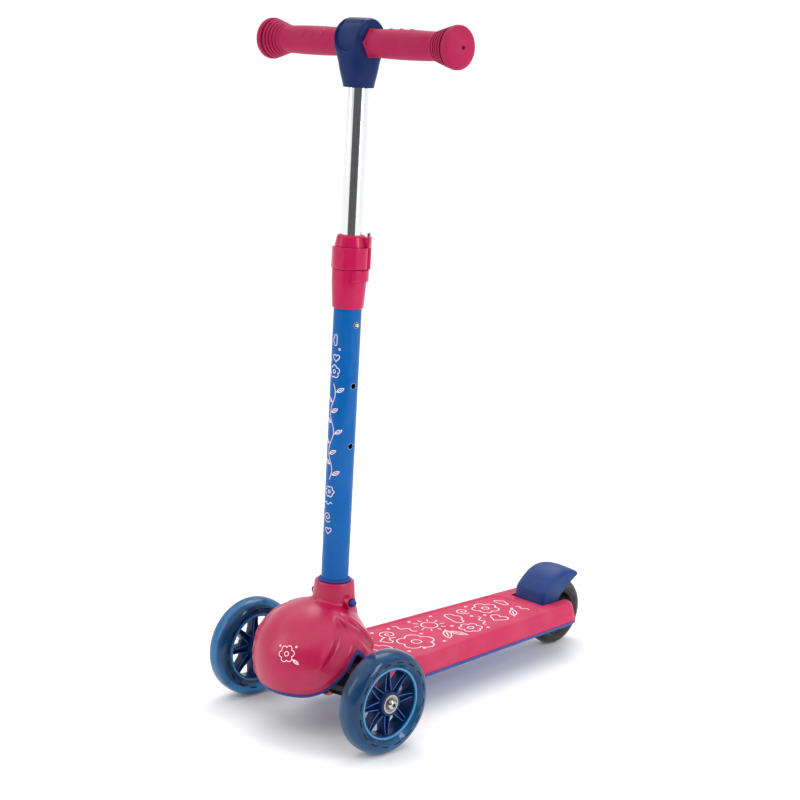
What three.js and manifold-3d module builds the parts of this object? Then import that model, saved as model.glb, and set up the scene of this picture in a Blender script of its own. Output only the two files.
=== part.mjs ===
// Three-wheel child's scooter that steers by leaning: a moulded hood and deck, a sprung front
// truck with two large wheels, one rear wheel under a foot brake, and a T handlebar whose height
// is set by a snap stud and a quick clamp. Millimetres, +Z up. The front faces -Y, the rider's
// left is +X. The origin is on the floor, in the middle of the scooter's length.

import * as THREE from 'three';
import { mergeVertices } from 'three/addons/utils/BufferGeometryUtils.js';
import Module from 'manifold-3d';

// Clearances
const seatGap = 0.3; // between two pieces that touch
const runGap = 0.4; // between a turning face and its neighbour
const slideGap = 0.3; // between a sliding piece and its guide
const wheelRoom = 3.2; // between a tyre and what is fixed beside it
const lipGap = 0.9; // between the height tube and the clamp's lip round it
const overrun = 5; // how far a cutting solid passes its work
const weldTolerance = 0.0001;

// Driving sizes
const wheelbase = 420;
const track = 232; // between the middle planes of the front wheels
const frontWheelR = 60;
const frontTyreW = 30;
const rearWheelR = 45;
const rearTyreW = 24;
const hoodHalfLength = 80;
const hoodHalfWidth = 76;
const hoodHalfHeight = 66;
const hoodMidZ = 82;
const hoodLowDeg = -62; // the hood's open foot, as an elevation from its middle
const hoodHighDeg = 82; // its top, hidden under the neck
const hoodSetback = 6; // the hood's middle behind the front axle
const columnSetback = 26; // the column behind the front axle, at columnRefZ
const columnRefZ = 150;
const columnRakeDeg = 1.73;
const barZ = 782; // handlebar height along the column
const barWidth = 314.6; // over the grips' domed ends
const heightTravel = 140; // two steps of the snap stud
const leanAxisDeg = 45; // the truck's pivot, from level, rising towards the front
const leanRangeDeg = 10; // either way

const frontReach = hoodHalfLength - hoodSetback;
const overallLength = frontReach + wheelbase + rearWheelR;
const frontAxleY = frontReach - overallLength / 2;
const rearAxleY = frontAxleY + wheelbase;
const hoodMidY = frontAxleY + hoodSetback;

// Column: lower tube, height tube and their bushes
const lowerTubeR = 16;
const lowerTubeWall = 1.6;
const lowerTubeFootZ = 96;
const lowerTubeTopZ = 553; // the clamp, the stud and the height tube's foot follow it
const upperTubeR = 12;
const upperTubeWall = 1.5;
const studDrop = 83; // top setting of the snap stud, below the lower tube's top
const studRise = 18; // the stud above the height tube's foot
const studZ = lowerTubeTopZ - studDrop;
const upperTubeFootZ = studZ - studRise;
const studR = 3.2;
const studStandout = 2.4; // past the lower tube's face
const studHoleR = studR + slideGap;
const settingPitch = heightTravel / 2;
const leafThick = 0.8;
const leafHalfW = 3.6;
const leafLength = 34;
const leafHalfGap = 2.6; // half the gap between its legs at the top
const lowerTubeBoreR = lowerTubeR - lowerTubeWall;
const upperTubeBoreR = upperTubeR - upperTubeWall;

// Collar on the hood, its bush and the two release buttons
const collarTopZ = 168;
const collarFootZ = 138;
const collarTopR = 23.5;
const collarFootR = 26.5;
const collarEdge = 4;
const neckFootZ = 126;
const neckFootR = 38;
const neckWaistR = 32;
const neckWaistZ = 131.5;
const collarSlopeR = 1.2;
const bushWall = 1.8;
const bushStandout = 3.5;
const bushFlangeH = 2.2;
const bushFlangeOverhang = 1;
const socketWall = 3;
const socketFootZ = 98;
const buttonZ = 147.5;
const buttonR = 4;
const buttonReach = 36.5; // from the column's axis to the button's face
const buttonFlangeR = 5.4;
const buttonFlangeW = 1.8;
const bossR = 7.5;
const bossReach = 31;
const releaseSpringR = 4.2;
const releaseSpringWireR = 0.6;
const releaseSpringTurns = 4;

// Clamp at the top of the lower tube: sleeve, ring, hinge lugs and the quick lever's band
const sleeveDrop = 34; // the sleeve's top below the lower tube's top
const sleeveH = 31;
const lowerLugH = 13.5;
const bandW = 25;
const upperLugH = 13.5;
const sleeveTopZ = lowerTubeTopZ - sleeveDrop;
const clampFootZ = sleeveTopZ - sleeveH;
const bandFootZ = sleeveTopZ + lowerLugH;
const bandTopZ = bandFootZ + bandW;
const clampTopZ = bandTopZ + upperLugH;
const clampFootR = 18;
const clampFootEdge = 1.5;
const sleeveR = 19.9;
const bandSeatR = 17.6;
const ringR = 18.4;
const ringTopR = 16;
const clampSlitW = 3;
const leverThick = 2.2;
const leverPivotDeg = 50; // round the column from +X towards the rear
const leverSweepDeg = 176;
const leverPinR = 1.5;
const leverEyeR = 3.4;
const leverPinStandout = 3;
const leverTipLift = 1;
const leverTipDeg = 12;
const lugR = 23.4;
const lugSpanDeg = 34; // upper hinge lug, forwards from the pin
const lowerLugR = 22;
const lowerLugSpanDeg = 86;
const lugTailDeg = 12; // both lugs, behind the pin
const guideBushLength = 24;
const slideBushLength = 34;
const leverPivotR = lowerTubeR + leverEyeR + 2 * seatGap;

// Crown and handlebar
const crownHalfX = 21.8;
const crownHalfY = 23;
const crownForward = 1.6;
const crownTop = 27; // above the bar's axis
const crownDrop = 48.5; // its foot below the bar's axis
const crownFootZ = barZ - crownDrop;
const crownFootR = 17;
const crownPanelDepth = 1;
const crownPanelHalfW = 13.5;
const crownPanelHalfH = 15.5;
const crownPanelLift = 8.5; // its middle above the bar's axis
const crownPanelPower = 2.6;
const barR = 11;
const barWall = 1.6;
const gripBoreR = barR + slideGap;
const gripStart = crownHalfX + seatGap;
const hexFlangeW = 3.6;
const hexFlangeR = 18;
const gripR = 15.3;
const gripSwell = 0.9;
const ribCount = 4;
const ribPitch = 5.7;
const ribRunout = 1.9; // from the last rib to the end flange
const ribRootR = 16;
const ribRise = 3; // of the last rib over its root
const flangeR = 23.3;
const flangeW = 4.6;
const gripCapDome = 7;
const flangeEnd = barWidth / 2 - gripCapDome;
const gripBodyEnd = flangeEnd - flangeW - ribRunout - ribCount * ribPitch;
const gripGrooveR = 18;
const gripGrooveW = 1.6;
const capHoleR = 1.8;

// Hood shell, its side arches and what stands in it
const hoodWall = 3;
const archApexZ = 107;
const archHalfSpan = 58; // at archFootZ
const archFootZ = 41;
const archApexR = 3;
const crestLift = 2.2;
const scoopDepth = 1.8;
const crestOffset = 27; // from the arch's edge to the crest
const crestHalfW = 6;
const scoopOffset = 14;
const scoopHalfW = 9;
const flareInnerX = 26; // the crest fades out towards the middle
const flareOuterX = 44;
const finThick = 3;
const finFootZ = 118;
const finTopZ = 150;
const nosePanThick = 3;
const nosePanEndY = 36; // ahead of the front axle
const archUnderrun = 10; // how far the arch's outline runs below the floor

// Deck and tray
const deckRearGap = 2; // the deck's end ahead of the rear axle
const deckFrontGap = 36; // the deck's start behind the front axle
const deckTopZ = 69;
const deckFootZ = 45.6;
const deckFrontY = frontAxleY + deckFrontGap;
const deckRearY = rearAxleY - deckRearGap;
const deckFrontHalfW = 65;
const deckRearHalfW = 50.5;
const deckSideLean = 8;
const deckLeanShare = 0.45; // of the lean, reached at the shoulder
const deckShoulder = 5;
const deckFrontCornerR = 14;
const deckRearCornerR = 15;
const deckWall = 3;
const panelDepth = 0.9;
const panelMargin = 3;
const panelRearGap = 66; // the panel's end ahead of the rear axle
const panelFrontGap = 4;
const panelCornerR = 9;
const panelHoodGap = 5.2; // round the hood, whose crest overhangs the deck
const deckRibThick = 2.4;
const deckRibCount = 3;
const deckLongRibX = 20;
const trayFootZ = 41;
const trayPlate = 2.6;
const trayRimW = 5;
const trayLean = 1.6;
const brakeSlotRoom = 2; // between the fender and the slot in the deck

// Rear fork, axle and wheel
const forkInnerX = 15.4;
const forkThick = 7.6;
const forkBossR = 12;
const forkReach = 72; // the fork arms, ahead of the rear axle
const axleBoltR = 3.9;
const boltHeadR = 7.2;
const boltHeadH = 4.6;
const nutR = 6.6;
const nutH = 5;
const rearHeadShare = 0.9; // the rear bolt's head beside the front ones, across
const rearHeadHeightShare = 0.8; // and in height, as the rear nut's
const headEdgeShares = [0.3, 0.7]; // heights of a bolt head's two edges
const headCrownShares = [0.86, 0.56]; // and their radii, the second at the top
const socketShares = [0.42, 0.45]; // its socket's radius and floor
const tipShares = [0.35, 0.7]; // a button's and a stud's chamfer: drop and radius

// Brake: fender, pad, pin and spring
const fenderHalfW = 26.4;
const fenderWall = 2.6;
const fenderCrown = 5.4;
const fenderEdge = 3;
const brakePinReach = 53; // ahead of the rear axle
const brakePinZ = 57;
const brakePinR = 2.6;
const brakeSpringWireR = 0.8;
const brakeSpringHalfW = 10;
const brakeSpringTurns = 5;
const brakeLugR = 5.6;
const brakePadGap = 5;
const brakePadThick = 2.4;
const brakePadHalfW = 9.5;
const brakePadFromDeg = 66;
const brakePadToDeg = 106;
const brakeRibThick = 2.2;
const brakeRibX = 6;
const brakeRibShare = 0.3; // half its length beside the rear wheel's radius
const fenderCrownShares = [0.4, 1, 0.2]; // at breast, crest and tail
const fenderRowShares = [-1, -0.96, -0.8, 0, 0.8, 0.96, 1]; // its sections across, of half its width
const fenderRoundPower = 8;
// Places on the fender from the rear axle as shares of the rear wheel's radius: y, z
const footFrontShares = [-1.133, 0.411];
const breastShares = [-1.056, 0.856];
const shoulderShares = [-0.578, 1.44];
const crestShares = [-0.067, 1.44];
const backShares = [0.2, 1.391];
const tailShares = [0.391, 1.271];
const lipShares = [0.387, 1.173];
const skirtShares = [0.078, 1.022];
const skirtFootShares = [-0.456, 0.6];
const heelShares = [-0.533, 0.333];

// Wheels
const bearingR = 11;
const bearingW = 7;
const bearingBoreR = 4.2;
const washerW = 1.9; // wall of the spacers on the axles
const bearingGroove = 0.6;
const spacerR = 6.2;
const hubWall = 3.4;
const hubRoom = 0.9; // between the hub's bore and the spacer
const rimLipWall = 2.6;
const rimFlangeHalfW = 3.4;
const spokeSpread = 5.2; // half the width of a spoke pair at the hub
const spokeTip = 2.4; // and at the rim
const spokeThick = 1.8;
const spokeWidthShare = 0.55; // of the rim's width
const tieShare = 0.45; // place of the tie between a spoke pair, from hub to rim
const frontLipR = 42;
const frontFlangeR = 50;
const frontHubHalfW = 12.4;
const frontRimHalfW = 11.6;
const rearLipR = 30;
const rearFlangeR = 36;
const rearHubHalfW = 11.4;
const rearRimHalfW = 9.6;
const tyreSquareness = 2.5; // 2 is an ellipse
const frontSpokePairCount = 8;
const rearSpokePairCount = 6;
const frontWheel = {
  tyreR: frontWheelR, tyreW: frontTyreW, lipR: frontLipR, flangeR: frontFlangeR,
  hubHalfW: frontHubHalfW, rimHalfW: frontRimHalfW, spokePairs: frontSpokePairCount,
};
const rearWheel = {
  tyreR: rearWheelR, tyreW: rearTyreW, lipR: rearLipR, flangeR: rearFlangeR,
  hubHalfW: rearHubHalfW, rimHalfW: rearRimHalfW, spokePairs: rearSpokePairCount,
};

// Front truck
const beamHalfLength = track / 2 - frontTyreW / 2 - wheelRoom;
const beamMidHalfY = 14;
const beamMidHalfZ = 12.5;
const beamEndR = 10;
const beamBoreDepth = 34;
const axleBoltShare = 0.9; // of the bore's depth that the bolt fills
const pivotHubR = 16.5;
const pivotHubHalf = 19;
const pivotBoltR = 5;
const earThick = 6.6;
const earR = 15;
const bracketHalfW = 17;
const bracketWallFrom = 23;
const bracketWallThick = 6;
const bracketStemFootZ = 79;
const bracketHeelH = 20;
const bracketWingHalfW = 36;
const pivotHeadH = 5;
const pivotStandout = 1.2; // the bolt's end past its nut
const stopX = 21;
const stopR = 5.4;
const rubberR = 9.6;
const pivotCapR = 12;
const pivotCapH = 4;

// Places worked out from the sizes above
const panelRearY = rearAxleY - panelRearGap;
const panelFrontY = deckFrontY + panelFrontGap;
const forkFrontY = rearAxleY - forkReach;
const brakePinY = rearAxleY - brakePinReach;
const brakeSlotHalfW = fenderHalfW + brakeSlotRoom;
const brakeSlotY = rearAxleY + rearWheelR * footFrontShares[0] - brakeSlotRoom;
const wheelWellHalfW = rearTyreW / 2 + wheelRoom;
const deckUnderZ = deckTopZ - deckWall - panelDepth; // the deck's ceiling under its panel
const hubR = bearingR + hubWall;

// Faceting
const tubeSides = 16;
const wheelSides = 24;
const gripSides = 14;
const smallSides = 8;
const bossSides = 12;
const hoodSides = 28;
const hoodRings = 8;
const hollowSides = 16;
const hollowRings = 5;
const cornerSteps = 3;
const coilSteps = 6;
const wireSides = 5;
const archSteps = 7;
const tyreSteps = 5;
const padSteps = 6;
const lugSteps = 5;
const hexSides = 6;

const wasm = await Module();
wasm.setup();

const rad = THREE.MathUtils.degToRad;
const smooth = THREE.MathUtils.smoothstep;
const rake = rad(columnRakeDeg);
const leanTilt = rad(90 - leanAxisDeg);

// Placing
const shift = (x, y, z) => new THREE.Matrix4().makeTranslation(x, y, z);
const aboutX = (angle) => new THREE.Matrix4().makeRotationX(angle);
const aboutY = (angle) => new THREE.Matrix4().makeRotationY(angle);
const aboutZ = (angle) => new THREE.Matrix4().makeRotationZ(angle);
const chain = (...steps) => steps.reduce((all, step) => all.multiply(step), new THREE.Matrix4());
const zToX = aboutY(Math.PI / 2);

const columnFootY = frontAxleY + columnSetback - columnRefZ * Math.tan(rake);
const columnPlace = chain(shift(0, columnFootY, 0), aboutX(-rake));
const truckPlace = chain(shift(0, frontAxleY, frontWheelR), aboutX(leanTilt));

// From a closed three.js geometry to a solid, turned right side out, and back
function solidOf(geometry, place = new THREE.Matrix4()) {
  const plain = geometry.clone().applyMatrix4(place);
  plain.deleteAttribute('normal');
  plain.deleteAttribute('uv');
  const merged = mergeVertices(plain, weldTolerance);
  const point = merged.attributes.position.array;
  const index = merged.index.array;
  const corners = [];
  let volume = 0;
  for (let i = 0; i < index.length; i += 3) {
    const [a, b, c] = [index[i], index[i + 1], index[i + 2]];
    if (a === b || b === c || c === a) continue;
    corners.push(a, b, c);
    const [p, q, r] = [a, b, c].map((k) => new THREE.Vector3().fromArray(point, 3 * k));
    volume += p.dot(q.cross(r));
  }
  if (volume < 0) corners.reverse();
  return new wasm.Manifold(new wasm.Mesh({
    numProp: 3, vertProperties: new Float32Array(point), triVerts: new Uint32Array(corners),
  }));
}

function geometryOf(solid) {
  const mesh = solid.getMesh();
  const indexed = new THREE.BufferGeometry();
  indexed.setAttribute('position', new THREE.BufferAttribute(new Float32Array(mesh.vertProperties), 3));
  indexed.setIndex(new THREE.BufferAttribute(new Uint32Array(mesh.triVerts), 1));
  const geometry = indexed.toNonIndexed();
  geometry.computeVertexNormals();
  return geometry;
}

const join = (first, ...others) => others.reduce((all, one) => all.add(one), first);
const cut = (first, ...others) => others.reduce((all, one) => all.subtract(one), first);

// A closed outline of [radius, height] pairs turned about Z
function turned(outline, sides, place) {
  const points = outline.map(([r, z]) => new THREE.Vector2(r, z));
  points.push(points[0].clone());
  const lathe = new THREE.LatheGeometry(points, sides);
  lathe.rotateX(Math.PI / 2);
  return solidOf(lathe, place);
}

const drum = (r, z0, z1, sides, place) => turned([[0, z0], [r, z0], [r, z1], [0, z1]], sides, place);
const pipe = (r, bore, z0, z1, sides, place) =>
  turned([[bore, z0], [r, z0], [r, z1], [bore, z1]], sides, place);

function block(x0, x1, y0, y1, z0, z1, place = new THREE.Matrix4()) {
  const box = new THREE.BoxGeometry(x1 - x0, y1 - y0, z1 - z0);
  return solidOf(box, chain(place, shift((x0 + x1) / 2, (y0 + y1) / 2, (z0 + z1) / 2)));
}

// A shape drawn in Y and Z, pushed out along X from -halfWidth to halfWidth
function sidePrism(shape, halfWidth, steps = cornerSteps) {
  const prism = new THREE.ExtrudeGeometry(shape, {
    depth: 2 * halfWidth, curveSegments: steps, bevelEnabled: false,
  });
  const toSide = new THREE.Matrix4().makeBasis(
    new THREE.Vector3(0, 1, 0), new THREE.Vector3(0, 0, 1), new THREE.Vector3(1, 0, 0));
  return solidOf(prism, chain(shift(-halfWidth, 0, 0), toSide));
}

// Triangles that fill one flat ring, each turned the way that the ring runs
function capFaces(ring) {
  const normal = new THREE.Vector3();
  ring.forEach((p, i) => normal.add(p.clone().cross(ring[(i + 1) % ring.length])));
  normal.normalize();
  const side = new THREE.Vector3(normal.y, normal.z, normal.x).cross(normal).normalize();
  const other = normal.clone().cross(side);
  const flat = ring.map((p) => new THREE.Vector2(p.dot(side), p.dot(other)));
  return THREE.ShapeUtils.triangulateShape(flat, []).map(([i, j, k]) => {
    const turn = flat[j].clone().sub(flat[i]).cross(flat[k].clone().sub(flat[i]));
    return turn > 0 ? [i, j, k] : [i, k, j];
  });
}

// A skin over rings of points that match one by one, closed by flat ends
function loft(rings, place) {
  const count = rings[0].length;
  const points = rings.flat().flatMap((p) => [p.x, p.y, p.z]);
  const index = [];
  for (let ring = 0; ring < rings.length - 1; ring += 1) {
    for (let i = 0; i < count; i += 1) {
      const a = ring * count + i;
      const b = ring * count + ((i + 1) % count);
      index.push(a, b, b + count, a, b + count, a + count);
    }
  }
  const last = (rings.length - 1) * count;
  for (const [i, j, k] of capFaces(rings[0])) index.push(i, k, j);
  for (const [i, j, k] of capFaces(rings[rings.length - 1])) index.push(last + i, last + j, last + k);
  const geometry = new THREE.BufferGeometry();
  geometry.setAttribute('position', new THREE.Float32BufferAttribute(points, 3));
  geometry.setIndex(index);
  return solidOf(geometry, place);
}

// A rounded square section of half sizes a and b; a power of 2 is an ellipse
function softSection(a, b, power, count, at) {
  return Array.from({ length: count }, (_, i) => {
    const angle = (2 * Math.PI * i) / count;
    const [c, s] = [Math.cos(angle), Math.sin(angle)];
    const reach = (Math.abs(c) ** power + Math.abs(s) ** power) ** (-1 / power);
    return at(a * reach * c, b * reach * s);
  });
}

// Finishes
const finish = (color, roughness, metalness = 0) =>
  new THREE.MeshStandardMaterial({ color, roughness, metalness });
const pinkShell = finish(0xd8436b, 0.42);
const pinkGloss = finish(0xc91f58, 0.25);
const pinkRubber = finish(0xb8365f, 0.75);
const bluePaint = finish(0x0a5aa5, 0.3, 0.1);
const blueShell = finish(0x4458a0, 0.45);
const navyShell = finish(0x2b4173, 0.5);
const wheelBlue = finish(0x0b3a70, 0.35);
const tyreBlue = finish(0x2f5e86, 0.3);
const tyreGrey = finish(0x3a3f38, 0.4);
const blackNylon = finish(0x17181b, 0.55);
const redRubber = finish(0xa8231f, 0.6);
const chrome = finish(0xd9dde0, 0.08, 1);
const steel = finish(0xa9adb0, 0.3, 1);
const brass = finish(0xb08a45, 0.3, 1);

const scooter = new THREE.Group();
const column = new THREE.Group();
column.applyMatrix4(columnPlace);
scooter.add(column);
const truck = new THREE.Group();
truck.position.set(0, frontAxleY, frontWheelR);
scooter.add(truck);

function piece(name, solid, material, parent = scooter) {
  const mesh = new THREE.Mesh(geometryOf(solid), material);
  mesh.name = name;
  parent.add(mesh);
  return mesh;
}

// Deck outline seen from above, inset by a distance, as one ring at height z
function deckRing(inset, z) {
  const ring = [];
  const corner = (x, y, r, from) => {
    for (let i = 0; i <= cornerSteps; i += 1) {
      const angle = from + (Math.PI / 2) * (i / cornerSteps);
      ring.push(new THREE.Vector3(x + r * Math.cos(angle), y + r * Math.sin(angle), z));
    }
  };
  const [front, rear] = [deckFrontY + inset, deckRearY - inset];
  const [frontW, rearW] = [deckFrontHalfW - inset, deckRearHalfW - inset];
  corner(rearW - deckRearCornerR, rear - deckRearCornerR, deckRearCornerR, 0);
  corner(-rearW + deckRearCornerR, rear - deckRearCornerR, deckRearCornerR, Math.PI / 2);
  corner(-frontW + deckFrontCornerR, front + deckFrontCornerR, deckFrontCornerR, Math.PI);
  corner(frontW - deckFrontCornerR, front + deckFrontCornerR, deckFrontCornerR, (3 * Math.PI) / 2);
  return ring;
}

// The recessed grip panel, as a shape seen from above
function panelShape() {
  const taper = (deckFrontHalfW - deckRearHalfW) / (deckRearY - deckFrontY);
  const halfWAt = (y) => deckFrontHalfW - taper * (y - deckFrontY) - deckSideLean - panelMargin;
  const [frontW, rearW] = [halfWAt(panelFrontY), halfWAt(panelRearY)];
  const panel = new THREE.Shape();
  panel.moveTo(-frontW, panelFrontY);
  panel.lineTo(frontW, panelFrontY);
  panel.lineTo(rearW, panelRearY - panelCornerR);
  panel.quadraticCurveTo(rearW, panelRearY, rearW - panelCornerR, panelRearY);
  panel.lineTo(-rearW + panelCornerR, panelRearY);
  panel.quadraticCurveTo(-rearW, panelRearY, -rearW, panelRearY - panelCornerR);
  panel.closePath();
  return panel;
}

function makeDeckShell() {
  const shoulderZ = deckTopZ - deckShoulder;
  const sideInset = deckSideLean * deckLeanShare;
  const outer = [deckRing(0, deckFootZ), deckRing(sideInset, shoulderZ)];
  for (let i = 1; i <= cornerSteps; i += 1) {
    const angle = (Math.PI / 2) * (i / cornerSteps);
    const inset = sideInset + (deckSideLean - sideInset) * (1 - Math.cos(angle));
    outer.push(deckRing(inset, shoulderZ + deckShoulder * Math.sin(angle)));
  }
  const body = loft(outer);
  const hollow = loft([
    deckRing(deckWall, deckFootZ - overrun),
    deckRing(deckWall + sideInset, shoulderZ),
    deckRing(deckWall + deckSideLean, deckUnderZ),
  ]);
  const panel = solidOf(new THREE.ExtrudeGeometry(panelShape(), {
    depth: panelDepth + overrun, bevelEnabled: false, curveSegments: cornerSteps,
  }), shift(0, 0, deckTopZ - panelDepth));
  const hoodRoom = loft([deckUnderZ, deckTopZ + 2 * overrun].map((z) => softSection(
    hoodHalfWidth + panelHoodGap, hoodHalfLength + panelHoodGap, 2, wheelSides,
    (x, y) => new THREE.Vector3(x, hoodMidY + y, z))));
  const recess = cut(panel, hoodRoom);
  const ribTopZ = deckTopZ - deckWall;
  const slot = block(-brakeSlotHalfW, brakeSlotHalfW, brakeSlotY, deckRearY + overrun,
    deckFootZ - overrun, deckTopZ + overrun);
  const slotWall = cut(
    block(-brakeSlotHalfW - deckWall, brakeSlotHalfW + deckWall, forkFrontY - deckWall, deckRearY,
      deckFootZ, ribTopZ),
    block(-brakeSlotHalfW, brakeSlotHalfW, forkFrontY, deckRearY + overrun,
      deckFootZ - overrun, deckUnderZ));
  const ribEndY = forkFrontY - deckWall;
  const ribRun = (ribEndY - deckFrontY) / (deckRibCount + 1);
  const ribs = [];
  for (let i = 1; i <= deckRibCount; i += 1) {
    const y = deckFrontY + ribRun * i;
    ribs.push(block(-deckFrontHalfW, deckFrontHalfW, y - deckRibThick / 2, y + deckRibThick / 2,
      deckFootZ, ribTopZ));
  }
  for (const x of [-deckLongRibX, 0, deckLongRibX]) {
    ribs.push(block(x - deckRibThick / 2, x + deckRibThick / 2, deckFrontY, ribEndY, deckFootZ, ribTopZ));
  }
  const inner = join(slotWall, ...ribs).intersect(body);
  return cut(join(cut(body, hollow), inner), recess, slot);
}

const rearAxlePlace = chain(shift(0, rearAxleY, rearWheelR), zToX);
const brakePinPlace = chain(shift(0, brakePinY, brakePinZ), zToX);

function makeTray() {
  const plate = loft([deckRing(trayLean, trayFootZ), deckRing(0, trayFootZ + trayPlate / 2),
    deckRing(0, deckFootZ - seatGap)]);
  const dish = loft([deckRing(trayRimW, trayFootZ + trayPlate), deckRing(trayRimW, deckFootZ + overrun)]);
  const endY = deckRearY + overrun;
  const wellY = rearAxleY - rearWheelR - wheelRoom;
  const axleRoomY = rearAxleY - boltHeadR - wheelRoom;
  const well = block(-wheelWellHalfW, wheelWellHalfW, wellY, endY, trayFootZ - overrun, deckTopZ);
  const axleRoom = block(-brakeSlotHalfW, brakeSlotHalfW, axleRoomY, endY, trayFootZ - overrun, deckTopZ);
  const arms = [forkInnerX, -forkInnerX - forkThick].map((x) => join(
    block(x, x + forkThick, forkFrontY + deckWall, rearAxleY, trayFootZ, rearWheelR + forkBossR / 2),
    block(x, x + forkThick, brakePinY - brakeLugR, brakePinY + brakeLugR, trayFootZ, brakePinZ),
    drum(brakeLugR, x, x + forkThick, bossSides, brakePinPlace),
    drum(forkBossR, x, x + forkThick, bossSides, rearAxlePlace)));
  const reach = forkInnerX + forkThick + overrun;
  const axleHole = drum(axleBoltR + seatGap, -reach, reach, smallSides, rearAxlePlace);
  const pinHole = drum(brakePinR + seatGap, -reach, reach, smallSides, brakePinPlace);
  return cut(join(cut(plate, dish, well, axleRoom), ...arms), axleHole, pinHole);
}

// Distance of a place beside the front wheel to the arch's sloped edge, outwards positive
const archReach = (y) => Math.hypot(y, archApexR) - archApexR;
const archSlope = (archApexZ - archFootZ) / archReach(archHalfSpan);
const archLean = Math.hypot(1, archSlope);
const archDistance = (y, z) => (z - archApexZ + archSlope * archReach(y - frontAxleY)) / archLean;

function hoodRing(elevation, inset, flared, sides) {
  const [halfX, halfY, halfZ] = [hoodHalfWidth - inset, hoodHalfLength - inset, hoodHalfHeight - inset];
  return Array.from({ length: sides }, (_, i) => {
    const angle = (2 * Math.PI * i) / sides;
    const spread = Math.cos(elevation);
    const x = halfX * spread * Math.cos(angle);
    const y = hoodMidY + halfY * spread * Math.sin(angle);
    const z = hoodMidZ + halfZ * Math.sin(elevation);
    if (!flared) return new THREE.Vector3(x, y, z);
    const away = archDistance(y, z);
    const side = smooth(Math.abs(x), flareInnerX, flareOuterX);
    const crest = crestLift * Math.exp(-(((away - crestOffset) / crestHalfW) ** 2));
    const scoop = scoopDepth * Math.exp(-(((away - scoopOffset) / scoopHalfW) ** 2));
    const out = side * (crest - scoop);
    return new THREE.Vector3(x + out * Math.cos(angle), y + out * Math.sin(angle), z);
  });
}

function hoodBody(inset, flared, sides = hollowSides, count = hollowRings) {
  const rings = [];
  for (let i = 0; i <= count; i += 1) {
    const elevationDeg = hoodLowDeg + ((hoodHighDeg - hoodLowDeg) * i) / count;
    rings.push(hoodRing(rad(elevationDeg), inset, flared, sides));
  }
  return loft(rings);
}

// The side arches: an inverted V with a round apex, open below
function archShape(offset) {
  const shape = new THREE.Shape();
  const reach = hoodHalfLength + hoodSetback + overrun;
  shape.moveTo(frontAxleY - reach, -archUnderrun);
  for (let i = -archSteps; i <= archSteps; i += 1) {
    const y = reach * Math.sign(i) * (i / archSteps) ** 2;
    const z = archApexZ + offset * archLean - archSlope * archReach(y);
    shape.lineTo(frontAxleY + y, Math.max(z, -archUnderrun / 2));
  }
  shape.lineTo(frontAxleY + reach, -archUnderrun);
  shape.closePath();
  return shape;
}

const outerHood = hoodBody(0, true, hoodSides, hoodRings);

function makeHood() {
  const neck = turned([[0, neckFootZ], [neckFootR, neckFootZ], [neckWaistR, neckWaistZ],
    [collarFootR, collarFootZ], [collarTopR, collarTopZ - collarEdge],
    [collarTopR - collarSlopeR, collarTopZ - collarSlopeR], [collarTopR - collarEdge, collarTopZ],
    [0, collarTopZ]], tubeSides, columnPlace);
  const boreR = lowerTubeR + bushWall + 2 * seatGap;
  const socket = drum(boreR + socketWall, socketFootZ, collarTopZ - collarEdge, tubeSides, columnPlace);
  const bossPlace = chain(columnPlace, shift(0, 0, buttonZ), zToX);
  const bosses = drum(bossR, -bossReach, bossReach, bossSides, bossPlace);
  const [finFront, finRear] = [hoodMidY - hoodHalfLength, hoodMidY + hoodHalfLength];
  const fins = join(
    block(-finThick / 2, finThick / 2, finFront, finRear, finFootZ, finTopZ),
    block(-hoodHalfWidth, hoodHalfWidth, hoodMidY - finThick / 2, hoodMidY + finThick / 2,
      finFootZ, finTopZ));
  const finBody = fins.intersect(hoodBody(hoodWall / 2, false));
  const arch = sidePrism(archShape(0), hoodHalfWidth + overrun);
  const deckRoom = block(-hoodHalfWidth - overrun, hoodHalfWidth + overrun, deckFrontY - wheelRoom,
    deckRearY, 0, deckTopZ + seatGap);
  const shell = cut(outerHood, hoodBody(hoodWall, false), arch, deckRoom);
  const bore = drum(boreR, socketFootZ - overrun, collarTopZ + overrun, tubeSides, columnPlace);
  const holeReach = bossReach + overrun;
  const buttonHole = drum(buttonR + slideGap, -holeReach, holeReach, smallSides, bossPlace);
  return cut(join(shell, finBody, neck, socket, bosses), bore, buttonHole);
}

// A sloped liner that closes the hood's front underside along the arch's edge
function makeNosePan() {
  const upper = sidePrism(archShape(-seatGap), hoodHalfWidth + overrun);
  const lower = sidePrism(archShape(-seatGap - nosePanThick), hoodHalfWidth + 2 * overrun);
  const front = block(-hoodHalfWidth, hoodHalfWidth, hoodMidY - hoodHalfLength - overrun,
    frontAxleY - nosePanEndY, 0, archApexZ);
  return upper.subtract(lower).intersect(front).intersect(outerHood);
}

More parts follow.
